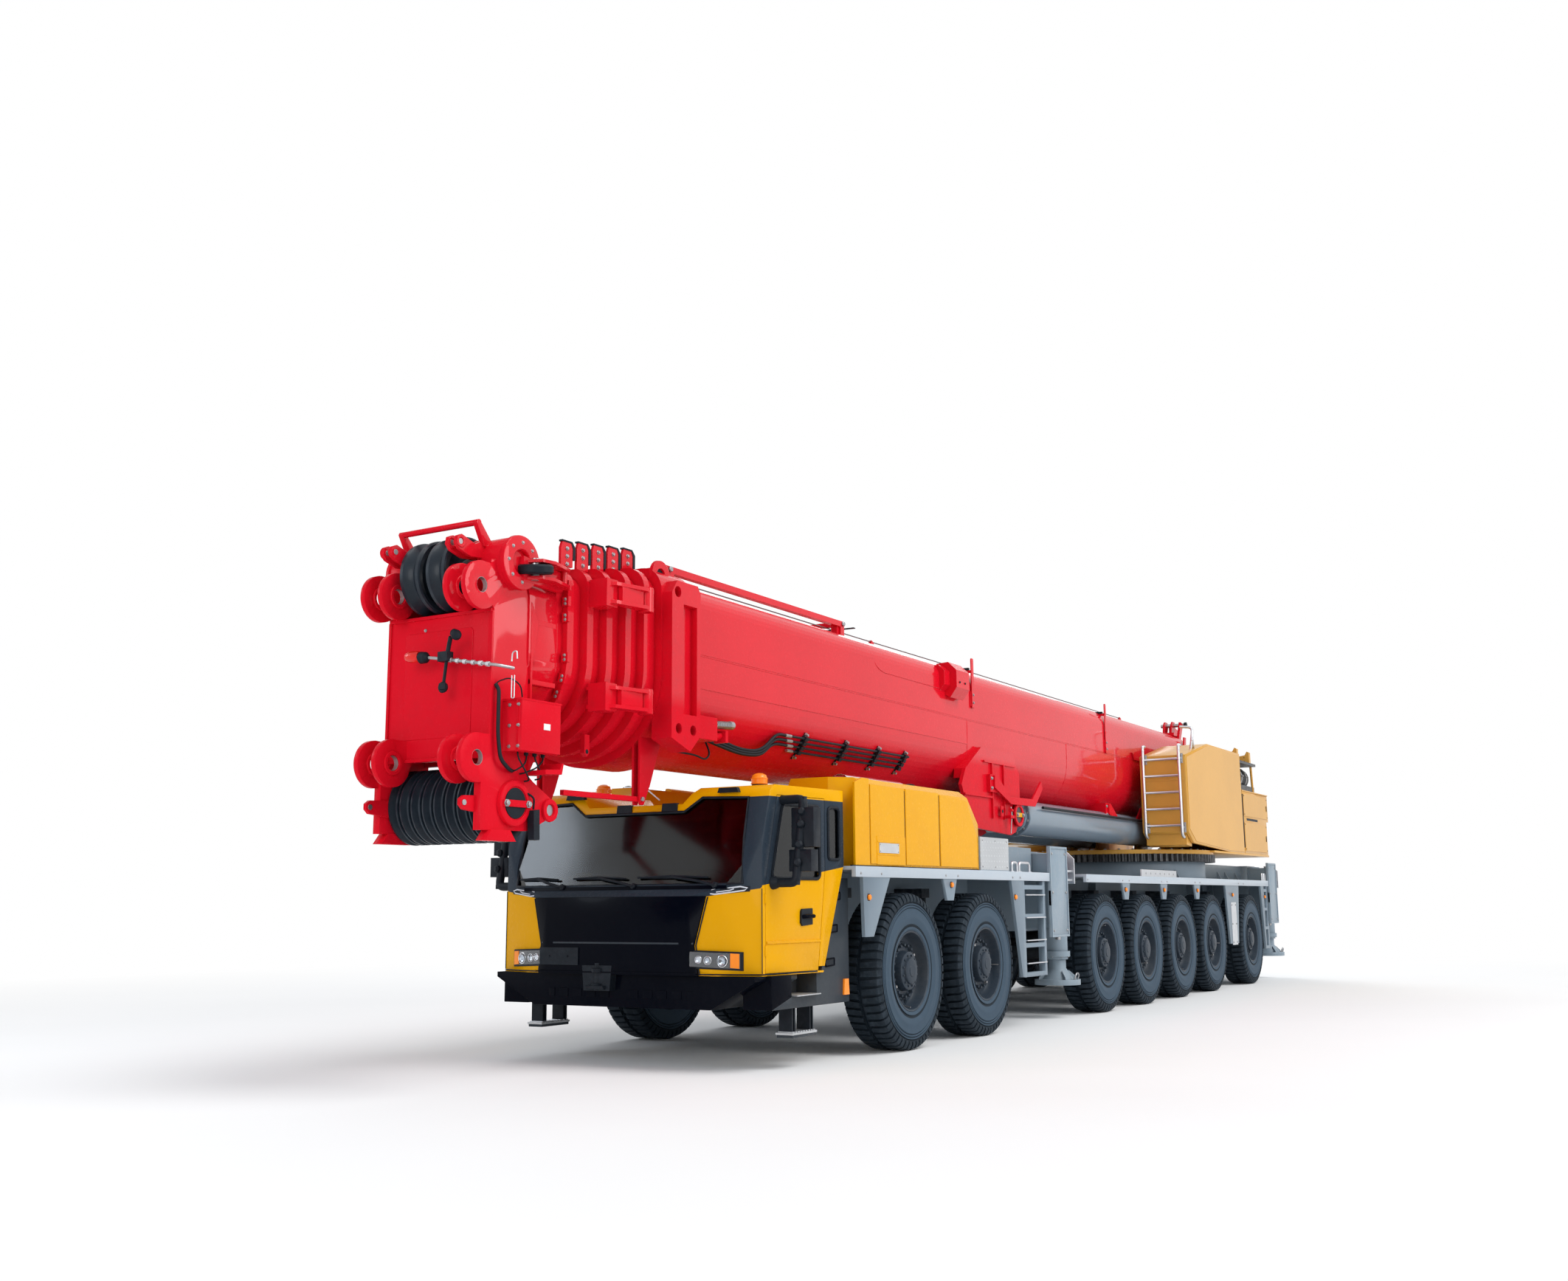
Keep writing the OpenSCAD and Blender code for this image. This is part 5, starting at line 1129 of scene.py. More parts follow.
    # front collar of the base: ribs and bores
    for z in (2.78, 3.30, 3.70):
        red.add(brick(2.395, 2.60, 0.70, 0.734, z - 0.018, z + 0.018), True)
    for x, z in ((2.70, 2.68), (2.47, 2.60)):
        red.add(ring([(0, 0.062), (0.010, 0.060), (0.010, 0.044), (0, 0.042)], (x, 0.715, z), LEFT, 24), True)
        steel.add(turned([(0, 0.041), (0.0045, 0.041)], (x, 0.715, z), LEFT, 24), True)
    red.add(ring([(0, 0.125), (0.03, 0.12), (0.03, 0.058), (0, 0.055)], (2.68, 0.60, 3.885), LEFT, 32), True)
    dark.add(turned([(0, 0.056), (0.012, 0.056)], (2.68, 0.60, 3.885), LEFT, 24), True)
    # pins of the top frame
    for x in (-0.62, 2.36):
        steel.add(turned([(0, 0.024), (0.012, 0.024), (0.02, 0.018)], (x, 0.492, 4.013), LEFT, 16), True)
    red.add(brick(-0.64, -0.54, 0.40, 0.47, 3.86, 3.985), True)
    for x in (-1.0, 2.25):
        dark.add(brick(x - 0.02, x + 0.02, -0.42, 0.42, 4.035, 4.045))
    red.done(0.003)
    steel.done(0.0015)
    dark.done(0.002)


def collar_fittings():
    """Guide plates, bolted tabs and bracket eyes on each telescopic section."""
    for k in range(1, 6):
        x = SECTION_FRONT[k]
        p = Piece(f"section_{k}_fittings", f"section_{k}", "boom_red", boom_red, trim_plastic, bare_steel)
        top = 4.075 - 0.022 * (k - 1)
        fin = [(x - 0.17, 3.80), (x - 0.03, 3.80), (x - 0.03, top - 0.05), (x - 0.05, top), (x - 0.15, top),
               (x - 0.17, top - 0.04)]
        p.add(slab(fin, "y", 0.425, 0.449), True)
        edge = [(x - 0.198, 3.86), (x - 0.168, 3.86), (x - 0.168, top - 0.04), (x - 0.149, top - 0.002),
                (x - 0.04, top - 0.002), (x - 0.04, top + 0.012), (x - 0.16, top + 0.012), (x - 0.198, top - 0.03)]
        p.add(slab(edge, "y", 0.418, 0.453), True, 1)
        for dz in (0.05, 0.11, 0.17):
            p.add(bolt((x - 0.10, 0.449, top - dz), LEFT, 0.014, 0.014), True, 2)
        if k == 4:
            for z, drop in ((3.60, 0.0), (2.86, -0.05)):
                for dz in (-0.075, 0.065):
                    arm = [(x - 0.03, 0.56), (x - 0.03, 0.70), (x - 0.10, 0.78), (x - 0.40, 0.84), (x - 0.52, 0.82),
                           (x - 0.55, 0.775), (x - 0.50, 0.735), (x - 0.14, 0.72), (x - 0.12, 0.56)]
                    p.add(slab(arm, "z", z + drop + dz - 0.014, z + drop + dz + 0.014))
                p.add(brick(x - 0.16, x - 0.024, 0.58, 0.745, z + drop - 0.11, z + drop + 0.10))
                p.add(ring([(-0.10, 0.058), (0.09, 0.058), (0.09, 0.036), (-0.10, 0.036)],
                           (x - 0.47, 0.782, z + drop), UP, 24))
                p.add(slab([(x - 0.40, 0.76), (x - 0.16, 0.75), (x - 0.16, 0.79), (x - 0.40, 0.81)], "z",
                           z + drop - 0.062, z + drop + 0.052))
        if k == 3:
            p.add(slab([(x - 0.09, 2.56), (x - 0.03, 2.56), (x - 0.03, 2.42), (x - 0.06, 2.39), (x - 0.09, 2.42)],
                       "y", 0.36, 0.40))
            p.add(turned([(0, 0.018), (0.042, 0.018)], (x - 0.06, 0.359, 2.43), LEFT, 14), mat=1)
        if k == 5:
            for z in (3.62, 3.50, 3.38, 3.08, 2.92, 2.80, 2.69, 2.60):
                y = flank(z, 0.575)
                lean = max(0.0, 3.08 - z) * 1.5
                turn = Matrix.Translation((x + 0.012, y, z)) @ Matrix.Rotation(-lean, 4, "X")
                p.add(grown(brick(-0.016, 0.016, -0.06, 0.0, -0.036, 0.036), turn))
                p.add(bolt(turn @ Vector((0.016, -0.03, 0.014)), AHEAD, 0.011, 0.012), mat=2)
                p.add(bolt(turn @ Vector((0.016, -0.03, -0.018)), AHEAD, 0.011, 0.012), mat=2)
        p.done(0.0025)


def boom_pipes():
    """Pipes on the boom's belly with their clamps, and the hoses to the collar's valve."""
    pipes = Piece("boom_pipes", "boom", "trim_black", hose_rubber, bare_steel, trim_plastic)
    level = [2.775 - 0.04 * k for k in range(4)]
    for k, z in enumerate(level):
        y, x = flank(z, off=0.028), 0.62 - 0.05 * k
        pipes.add(run([(x, y, z), (-1.79 + 0.06 * k, y, z)], 0.011, 8))
        pipes.add(rod((x, y, z), (x + 0.10, y, z), 0.016, 8), mat=1)
    for x in (0.36, -0.42, -1.10, -1.70):
        for z in level:
            y = flank(z, off=0.03)
            pipes.add(grown(brick(-0.028, 0.028, -0.03, 0.022, -0.019, 0.019),
                            Matrix.Translation((x, y, z)) @ Matrix.Rotation(math.radians(-28), 4, "X")), mat=2)
        pipes.add(run([(x, flank(z, off=0.006), z) for z in (2.83, 2.78, 2.72, 2.66, 2.60)], 0.012, 6), mat=2)
        for z in (2.815, 2.615):
            pipes.add(bolt((x, flank(z, off=0.012), z), (0, 1, -0.4), 0.014, 0.035), mat=1)
    # coiled spring valve and its block by the collar
    for k in range(16):
        pipes.add(ring([(-0.005, 0.034), (0.005, 0.034), (0.005, 0.024), (-0.005, 0.024)],
                       (2.02 - 0.016 * k, 0.70, 2.74 + 0.001 * k), (1, 0, 0.06), 14), mat=1)
    pipes.add(rod((2.10, 0.70, 2.738), (1.72, 0.70, 2.76), 0.022, 12), mat=1)
    pipes.add(turned([(0, 0.036), (0.05, 0.036), (0.06, 0.022)], (1.79, 0.70, 2.756), (-1, 0, 0.06), 12), mat=1)
    pipes.done()
    block = Piece("collar_valve", "boom", "boom_red", boom_red)
    block.add(brick(2.03, 2.40, 0.50, 0.745, 2.60, 2.79))
    block.add(turned([(0, 0.03), (0.20, 0.03), (0.22, 0.018)], (2.04, 0.68, 2.63), (-1, 0, 0.2), 14))
    block.add(brick(1.86, 1.90, 0.62, 0.74, 2.60, 2.70))
    block.done(0.004)
    for k, z in enumerate(level[:3]):
        y = flank(z, off=0.028)
        hose(f"boom_hose_{k + 1}", "boom", [
            (0.71 - 0.05 * k, y, z), (0.88, y + 0.01, z), (1.12, 0.60, 2.60 - 0.02 * k), (1.42, 0.58, 2.59 - 0.02 * k),
            (1.76, 0.57, 2.65 - 0.025 * k), (1.95, 0.55, 2.70 - 0.03 * k),
            (2.035, 0.545 - 0.015 * k, 2.70 - 0.025 * k)], 0.014, 0.14)
    hose("collar_cable", "boom", [(2.395, 0.485, 2.53), (2.32, 0.52, 2.505), (2.12, 0.58, 2.49), (1.96, 0.58, 2.46),
                                  (1.86, 0.56, 2.52), (1.85, 0.50, 2.635)], 0.008, 0.06)


def top_rope():
    """The rope stretched along the top of the base section."""
    path = [(-9.70, 0.32, 3.905), (-9.60, 0.32, 3.985), (-7.9, 0.32, 3.986), (-3.35, 0.32, 3.988),
            (-1.54, 0.32, 3.985), (2.18, 0.32, 3.985), (2.28, 0.32, 3.905)]
    hose("boom_lifeline", "boom", path, 0.006, 0.0, rope_steel)


boom_plates()
collar_fittings()
boom_pipes()
top_rope()


# Hood, deck and outriggers
def hood_details():
    """Side panels, seams, blank plates, pipe shields and grilles of the engine hood."""
    panels = Piece("hood_panels", "carrier", "cab_yellow", cab_yellow)
    dark = Piece("hood_seams_and_painted_grille_shade", "carrier", "trim_black", trim_plastic, hose_rubber)
    plate = Piece("hood_plates", "carrier", "deck_silver", chrome, aluminium, bare_steel)
    for x0, x1 in ((0.045, 0.705), (-0.685, 0.015), (-1.50, -0.715)):
        low, top = 1.615, 2.30
        corner = [(x0, low), (x1, low), (x1, top), (x0, top)] if x0 > -1 else [
            (-1.575, low), (x1, low), (x1, 2.285), (-1.34, 2.26), (-1.56, 1.93)]
        panels.add(slab(corner, "y", 1.44, 1.4575), True)
    panels.add(slab([(0.735, 1.60), (1.00, 1.60), (1.00, 2.30), (0.86, 2.345), (0.735, 2.345)], "y", 1.44, 1.462),
               True)
    panels.add(slab([(0.60, 1.61), (0.60, 1.86), (0.045, 1.86), (0.045, 1.61)], "y", 1.455, 1.462), True)
    for z in (1.70, 1.81):
        panels.add(brick(0.16, 0.59, 1.457, 1.466, z - 0.008, z + 0.008), True)
    plate.add(brick(0.185, 0.565, 1.455, 1.4685, 1.712, 1.798), True, 1)
    for x in (0.20, 0.55):
        for z in (1.725, 1.785):
            plate.add(bolt((x, 1.468, z), LEFT, 0.006, 0.004), True, 2)
    for x in (0.72, 0.03, -0.70):
        dark.add(brick(x - 0.004, x + 0.004, 1.446, 1.4525, 1.62, 2.28), True)
    dark.add(brick(-1.60, 1.04, 1.43, 1.4525, 1.592, 1.600), True)
    # shield over the exhaust pipe
    shield = [(0.058 * math.cos(a), 0.058 * math.sin(a)) for a in (math.pi * k / 14 for k in range(15))]
    pipe_y = 1.15
    outer = [(pipe_y + c * 1.45, 2.345 + s * 1.03) for c, s in shield]
    inner = [(pipe_y + c * 1.30, 2.345 + s * 0.92) for c, s in reversed(shield)]
    plate.add(slab(outer + inner, "x", -0.42, 0.70), True)
    plate.add(slab([(pipe_y - 0.084, 2.34), (pipe_y + 0.084, 2.34), (pipe_y + 0.06, 2.39), (pipe_y - 0.06, 2.39)],
                   "x", 0.695, 0.70), True)
    for x in (-0.36, 0.14, 0.64):
        for dy in (-0.092, 0.092):
            plate.add(brick(x - 0.02, x + 0.02, pipe_y + dy - 0.016, pipe_y + dy + 0.016, 2.345, 2.353), True, 2)
            plate.add(bolt((x, pipe_y + dy, 2.353), UP, 0.008, 0.008), True, 2)
    # grille openings in the hood's back and between the pods, drawn as dark strips that paint the shade inside the
    # openings
    for k in range(9):
        dark.add(brick(-1.618, -1.608, 0.95, 1.36, 1.66 + 0.026 * k, 1.672 + 0.026 * k), True)
    for k in range(12):
        dark.add(brick(-0.95 + 0.11 * k, -0.89 + 0.11 * k, -0.55, 0.55, 2.118, 2.1235))
    panels.done(0.005)
    dark.done()
    plate.done(0.0015)
    hose("pipe_drain_hose", "carrier", [(-0.60, 1.15, 2.345), (-0.60, 1.16, 2.385), (-0.66, 1.18, 2.392),
                                        (-0.70, 1.20, 2.385), (-0.71, 1.21, 2.345)], 0.009, 0.03)


def deck_details():
    """Markers, grab loops, tread strips and the box beside the ladder."""
    tinted("carrier_deck", lambda x, y, z: z < 1.495, hanger_paint)
    amber = Piece("side_markers", "carrier", "cab_glass", amber_lens, trim_plastic)
    for x, z in ((0.83, 1.33), (-0.855, 1.445), (-2.42, 1.33), (-5.98, 1.42), (-7.56, 1.42), (-9.12, 1.42),
                 (-11.0, 1.36), (-12.98, 1.33)):
        amber.add(turned([(0, 0.034), (0.006, 0.034)], (x, 1.488, z), LEFT, 6), True, 1)
        amber.add(turned([(0, 0.024), (0.014, 0.024), (0.02, 0.016)], (x, 1.493, z), LEFT, 14), True)
    amber.done()
    loops = Piece("deck_grab_loops", "carrier", "deck_silver", aluminium, bare_steel)
    for x0, x1 in ((-2.44, -2.58), (-2.64, -2.92)):
        loops.add(run([(x0, 1.455, 1.585), (x0, 1.455, 1.685), (x1, 1.455, 1.685), (x1, 1.455, 1.585)], 0.014, 10,
                      0.05), True)
        for x in (x0, x1):
            loops.add(turned([(0, 0.028), (0.008, 0.028)], (x, 1.455, 1.588), UP, 14), True)
    for x0, x1 in ((-13.02, -13.10), (-13.16, -13.24)):
        loops.add(run([(x0, 1.455, 1.585), (x0, 1.455, 1.70), (x1, 1.455, 1.70), (x1, 1.455, 1.585)], 0.012, 8, 0.03),
                  True)
    # strip with holes beside the ring
    loops.add(brick(-9.35, -7.75, 1.12, 1.14, 1.60, 1.70), True)
    for k in range(7):
        loops.add(turned([(0, 0.014), (0.004, 0.014)], (-9.2 + 0.21 * k, 1.139, 1.65), LEFT, 12), True, 1)
    for k in range(4):
        z = 0.62 + 0.235 * k
        loops.add(brick(-3.24, -2.70, 1.470, 1.5035, z + 0.022, z + 0.034), True)
    loops.done(0.0015)
    grip = Piece("checker_box_cover", "carrier", "deck_silver", checker, bare_steel)
    grip.add(brick(-2.348, -1.634, 0.902, 1.458, 1.918, 1.924), True)
    grip.add(brick(-2.348, -1.634, 1.4585, 1.4635, 1.60, 1.922), True)
    for x in (-2.30, -2.0, -1.68):
        for z in (1.63, 1.89):
            grip.add(bolt((x, 1.4635, z), LEFT, 0.007, 0.005), True, 1)
    for x0, x1 in ((-3.30, -2.40), (-13.2, -4.72)):
        grip.add(brick(x0, x1, 1.16, 1.44, 1.5895, 1.594), True)
    grip.done(0.001)
    steel = Piece("deck_bolts", "carrier", "frame_grey", frame_paint, bare_steel, aluminium)
    for x in (0.98, 0.60, -0.72, -0.99, -2.35, -2.55, -4.60, -5.86, -6.10, -7.44, -7.68, -9.0, -9.24, -11.35, -11.65):
        steel.add(bolt((x, 1.4995, 1.53), LEFT, 0.010, 0.007), True, 1)
    # patched guard plate between the last two wheels
    steel.add(brick(-11.16, -10.88, 1.488, 1.497, 0.62, 1.25), True, 2)
    for x in (-11.13, -10.91):
        for z in (0.66, 0.93, 1.21):
            steel.add(bolt((x, 1.497, z), LEFT, 0.011, 0.008), True, 1)
    # upright ribs below the slewing ring and along the frame
    for x in (-12.9, -12.3, -11.85, -11.0, -9.6, -9.05):
        steel.add(slab([(1.04, 1.60), (1.12, 1.60), (1.06, 1.72), (1.04, 1.72)], "x", x - 0.012, x + 0.012), True)
    for x in (-13.15, -12.55, -11.95, -7.4, -6.0):
        steel.add(brick(x - 0.015, x + 0.015, 0.45, 0.62, 0.95, 1.52), True)
    steel.done(0.002)


JACK_X, JACK_Y = -0.22, 1.243  # the jack's axis, from the middle of its outrigger box


def outrigger_details():
    """Frames, lugs, locks and clamps on the beams, ribs and handles on the feet."""
    for end, centre in (("front", -3.98), ("rear", -13.86)):
        for side, way in SIDES:
            def placed(shape, way=way, centre=centre):
                return [(centre + way * p[0], way * p[1], p[2]) for p in shape[0]], shape[1]

            p = Piece(f"beam_fittings_{end}_{side}", f"beam_{end}_{side}", "outrigger_grey", outrigger_paint,
                      bare_steel, trim_plastic, aluminium)
            # edge frame, lifting lugs and a lock on the end plate
            for x0, x1, z0, z1 in ((0.05, 0.57, 1.855, 1.878), (0.05, 0.57, 0.902, 0.925),
                                   (0.05, 0.075, 0.925, 1.855), (0.545, 0.57, 0.925, 1.855)):
                p.add(placed(brick(x0, x1, 1.499, 1.509, z0, z1)))
            for x in (0.11, 0.51):
                for z in (0.97, 1.38, 1.80):
                    p.add(placed(bolt((x, 1.50, z), LEFT, 0.014, 0.012)), mat=1)
            p.add(placed(brick(0.525, 0.575, 1.478, 1.503, 1.24, 1.40)), mat=2)
            # bracket with two bars above the jack, and the jack tube's clamp
            for x in (-0.36, -0.09):
                p.add(placed(slab([(1.28, 1.48), (1.44, 1.48), (1.44, 1.76), (1.36, 1.84), (1.28, 1.84)], "x",
                                  x - 0.012, x + 0.012)), mat=3)
            for z in (1.52, 1.62, 1.80):
                p.add(placed(rod((-0.36, 1.40 if z < 1.7 else 1.33, z), (-0.09, 1.40 if z < 1.7 else 1.33, z), 0.016,
                                 10)), mat=3)
            p.add(placed(ring([(-0.03, 0.150), (0.03, 0.150), (0.03, 0.1255), (-0.03, 0.1255)],
                              (JACK_X, JACK_Y, 0.70), UP, 36)))
            p.add(placed(ring([(-0.02, 0.140), (0.02, 0.140), (0.02, 0.1255), (-0.02, 0.1255)],
                              (JACK_X, JACK_Y, 1.36), UP, 36)))
            p.add(placed(brick(-0.12, 0.06, 1.30, 1.36, 0.93, 1.01)), mat=2)
            p.add(placed(turned([(0, 0.03), (0.07, 0.03), (0.08, 0.02)], (-0.05, 1.33, 0.86), UP, 14)), mat=1)
            for a in circle(8):
                p.add(placed(bolt((JACK_X + 0.138 * math.cos(a), JACK_Y + 0.138 * math.sin(a), 0.672), (0, 0, -1),
                                  0.009, 0.01)), mat=1)
            p.done(0.003)
            q = Piece(f"foot_fittings_{end}_{side}", f"jack_{end}_{side}", "outrigger_grey", outrigger_paint,
                      bare_steel)
            for k in range(4):
                a = math.pi / 4 + k * math.pi / 2
                turn = Matrix.Translation((JACK_X, JACK_Y, 0.42)) @ Matrix.Rotation(a, 4, "Z")
                q.add(placed(grown(slab([(0.12, 0.0), (0.235, 0.0), (0.22, 0.03), (0.135, 0.10)], "y", -0.009, 0.009),
                                   turn)))
            for s in (-1, 1):
                q.add(placed(run([(JACK_X + s * 0.05, JACK_Y + 0.22, 0.42), (JACK_X + s * 0.05, JACK_Y + 0.235, 0.47),
                                  (JACK_X + s * 0.05 * 0.2, JACK_Y + 0.235, 0.49)], 0.010, 8, 0.03)), mat=1)
            q.done(0.003)


hood_details()
deck_details()
outrigger_details()


# Upper works
RING_X, RING_BOLT_R, RING_BOLTS = -10.3, 1.26, 40
WINCH_X, WINCH_Z, ROPE_TURNS = -13.18, 2.5, 39


def house_details():
    """Panels, ladders, rails and brackets of the house, and the ring's bolts."""
    tinted("house_covers", lambda x, y, z: x > -8.995, aluminium)
    panels = Piece("house_panels", "upper", "house_yellow", house_paint)
    dark = Piece("house_dark_trim", "upper", "trim_black", trim_plastic)
    bright = Piece("house_handrails", "upper", "deck_silver", aluminium, bare_steel)
    # ladder stiles bent over at both ends, and the grab rail above them
    for y in (0.86, 1.38):
        bright.add(run([(-9.02, y, 3.47), (-8.935, y, 3.47), (-8.93, y, 3.36), (-8.93, y, 2.26), (-8.93, y, 2.19),
                        (-9.0, y, 2.165)], 0.0215, 12, 0.05))
        for z in (2.30, 3.28):
            bright.add(brick(-9.008, -8.985, y - 0.04, y + 0.04, z - 0.07, z + 0.07), mat=1)
            for dz in (-0.045, 0.045):
                bright.add(bolt((-8.985, y + 0.02, z + dz), AHEAD, 0.010, 0.01), mat=1)
    bright.add(run([(-9.62, 1.36, 3.44), (-9.60, 1.40, 3.66), (-9.62, 1.40, 3.78), (-9.62, 1.22, 3.80)], 0.02, 10,
                   0.06))
    bright.add(run([(-9.72, 1.38, 3.47), (-9.60, 1.40, 3.60)], 0.018, 10))
    # front face: tread box edge and the step below it
    panels.add(slab([(0.80, 2.26), (1.44, 2.26), (1.44, 3.31), (0.80, 3.31)], "x", -9.004, -8.998))
    for z in (2.62, 2.98):
        panels.add(brick(-9.0, -8.991, 0.83, 1.41, z - 0.014, z + 0.014))
    # flat side with its lower cut and seams
    panels.add(slab([(-12.04, 2.03), (-11.20, 2.03), (-9.35, 2.115), (-9.06, 2.28), (-9.06, 3.30), (-10.18, 3.55),
                     (-12.04, 3.55)], "y", 1.445, 1.4565))
    panels.add(slab([(-12.04, 2.03), (-9.92, 2.03), (-9.92, 3.55), (-12.04, 3.55)], "y", -1.4565, -1.445))
    for x0, x1, z0, z1 in ((-13.55, -12.13, 2.05, 2.50), (-13.66, -12.13, 2.60, 2.955)):
        panels.add(brick(x0, x1, 1.446, 1.459, z0, z1), True)
        for a, b in ((x0 + 0.03, z0 + 0.03), (x1 - 0.03, z0 + 0.03), (x0 + 0.03, z1 - 0.03), (x1 - 0.03, z1 - 0.03)):
            dark.add(turned([(0, 0.010), (0.004, 0.010)], (a, 1.459, b), LEFT, 12), True)
        dark.add(brick(x0 + 0.05, x0 + 0.075, 1.457, 1.466, (z0 + z1) / 2 - 0.045, (z0 + z1) / 2 + 0.045), True)
    dark.add(brick(-13.0, -12.3, 1.40, 1.4525, 2.535, 2.572), True)
    dark.add(brick(-12.125, -12.085, 1.30, 1.4515, 2.10, 2.95), True)
    panels.add(brick(-13.735, -12.07, 0.84, 1.46, 2.995, 3.012), True)
    panels.add(rod((-13.70, 1.36, 2.985), (-13.84, 1.36, 2.985), 0.035, 16), True)
    dark.add(rod((-13.79, 1.36, 2.90), (-13.79, 1.36, 2.985), 0.028, 14), True)
    # top: brackets on the platform, filler and cover
    for x in (-12.24, -13.02):
        panels.add(slab([(1.18, 3.50), (1.38, 3.50), (1.38, 3.68), (1.345, 3.70), (1.31, 3.64), (1.18, 3.62)], "x",
                        x - 0.05, x + 0.05), True)
        for z in (3.54, 3.60):
            dark.add(turned([(0, 0.008), (0.003, 0.008)], (x + 0.05, 1.30, z), AHEAD, 10), True)
    dark.add(turned([(0, 0.075), (0.06, 0.075), (0.07, 0.06)], (-10.9, 1.15, 3.578), UP, 24), True)
    bright.add(rod((-11.0, 1.2, 3.63), (-12.1, 1.2, 3.60), 0.012, 8), True)
    # turntable edge: steps under the cover and bolts of the ring
    panels.add(slab([(-9.06, 2.06), (-9.30, 2.04), (-9.30, 2.20), (-9.06, 2.25)], "y", 0.82, 1.40))
    for a in circle(RING_BOLTS):
        bright.add(bolt((RING_X + RING_BOLT_R * math.cos(a), RING_BOLT_R * math.sin(a), 2.011), UP, 0.02, 0.02),
                   mat=1)
    panels.done(0.006)
    dark.done(0.001)
    bright.done()


def upper_machinery():
    """Fittings of the upper engine, rope on the winch and ends of the lift cylinders."""
    engine = Piece("upper_engine_fittings", "upper", "engine_grey", cast_iron, bare_steel, house_paint, hose_rubber)
    for x in (-12.42, -12.72, -13.02):
        engine.add(ring([(-0.02, 0.192), (0.02, 0.192), (0.02, 0.172), (-0.02, 0.172)], (x, 1.12, 3.26), AHEAD, 36),
                   mat=1)
        engine.add(bolt((x, 1.31, 3.28), LEFT, 0.014, 0.03), mat=1)
    for k in range(3):
        engine.add(run([(-12.28, 1.02 + 0.08 * k, 3.32), (-12.20, 1.06 + 0.08 * k, 3.40),
                        (-12.26, 1.12 + 0.07 * k, 3.45)], 0.016, 8, 0.05), mat=1)
    engine.add(turned([(0, 0.10), (0.10, 0.10), (0.13, 0.075), (0.16, 0.075)], (-13.30, 1.12, 3.26), (-1, 0, 0), 28))
    engine.add(run([(-13.44, 1.12, 3.26), (-13.56, 1.12, 3.28), (-13.60, 1.12, 3.38)], 0.05, 16, 0.08), mat=1)
    engine.add(turned([(0, 0.085), (0.16, 0.085), (0.20, 0.05)], (-12.70, 1.14, 2.99), UP, 24), mat=1)
    engine.add(run([(-13.30, 1.33, 3.0), (-13.24, 1.33, 3.46)], 0.02, 10), mat=2)
    engine.add(brick(-13.42, -12.12, 0.92, 1.36, 3.005, 3.03), mat=2)
    engine.done(0.003)
    # winch rope laid on the drum
    coil = Piece("winch_rope_layer", "winch", "winch_steel", rope_steel, bare_steel)
    for k in range(ROPE_TURNS):
        y = -0.428 + 0.856 * k / (ROPE_TURNS - 1)
        coil.add(ring([(-0.0105, 0.250), (-0.0075, 0.262), (0, 0.267), (0.0075, 0.262), (0.0105, 0.250)],
                      (WINCH_X, y, WINCH_Z), LEFT, 48))
    for s in (-1, 1):
        for a in circle(6):
            coil.add(bolt((WINCH_X + 0.18 * math.cos(a), s * 0.480, WINCH_Z + 0.18 * math.sin(a)), (0, s, 0), 0.018,
                          0.016), mat=1)
    coil.done()
    # lift cylinder ends
    ends = Piece("barrel_ends", "lift_barrels", "cylinder_grey", barrel_paint, bare_steel, hose_rubber)
    for y in (-0.5, 0.5):
        ends.add(ring([(0, 0.232), (0.05, 0.232), (0.06, 0.222), (0.06, 0.172), (0, 0.172)], (-4.90, y, 2.29), AHEAD,
                      48))
        for a in circle(12, 0.5):
            ends.add(bolt((-4.84, y + 0.197 * math.cos(a), 2.29 + 0.197 * math.sin(a)), AHEAD, 0.014, 0.014), mat=1)
        ends.add(run([(-5.3, y + 0.215, 2.42), (-9.8, y + 0.215, 2.42)], 0.018, 10), mat=2)
    ends.done(0.002)


def operator_details():
    """Trim, seat and controls of the operator's cab."""
    trim = Piece("operator_cab_trim", "upper", "trim_black", trim_plastic, bare_steel, aluminium)
    for z in (2.56, 3.38):
        trim.add(brick(-9.60, -8.35 if z > 3 else -8.26, -1.4535, -1.449, z - 0.012, z + 0.012))
    trim.add(brick(-9.612, -9.588, -1.4535, -1.449, 2.56, 3.38))
    trim.add(brick(-9.02, -8.99, -1.4535, -1.449, 2.56, 3.38))
    trim.add(brick(-8.86, -8.72, -1.475, -1.45, 2.42, 2.47))
    trim.add(run([(-9.55, -1.452, 2.45), (-9.55, -1.50, 2.45), (-9.55, -1.50, 3.25), (-9.55, -1.452, 3.25)], 0.014, 8,
                 0.03), mat=2)
    trim.add(run([(-8.09, -1.15, 2.50), (-8.06, -1.18, 2.62), (-8.13, -1.30, 3.0)], 0.009, 6), mat=0)
    for y in (-1.36, -0.93):
        trim.add(turned([(0, 0.05), (0.05, 0.055), (0.06, 0.05)], (-8.30, y, 3.42), (1, 0, 0.3), 20))
    trim.done(0.002)
    seat = Piece("operator_seat", "upper", "interior_grey", seat_cloth, cab_plastic)
    seat.add(cushion((-9.17, -1.145, 2.55), (0.25, 0.21, 0.07), 2))
    seat.add(cushion((-9.37, -1.145, 2.86), (0.06, 0.21, 0.31), 0))
    seat.done()
    controls = Piece("operator_controls", "upper", "interior_grey", cab_plastic, trim_plastic)
    for y in (-1.38, -0.97):
        controls.add(brick(-9.25, -8.85, y, y + 0.06, 2.60, 2.72))
        controls.add(rod((-8.93, y + 0.03, 2.70), (-8.91, y + 0.03, 2.84), 0.012, 10), mat=1)
        controls.add(turned([(0, 0.02), (0.06, 0.026), (0.08, 0.012)], (-8.91, y + 0.03, 2.82), UP, 14), mat=1)
    controls.add(slab([(-8.42, 2.16), (-8.32, 2.16), (-8.18, 2.42), (-8.22, 2.46), (-8.36, 2.44)], "y", -1.38, -0.91))
    controls.done(0.006)


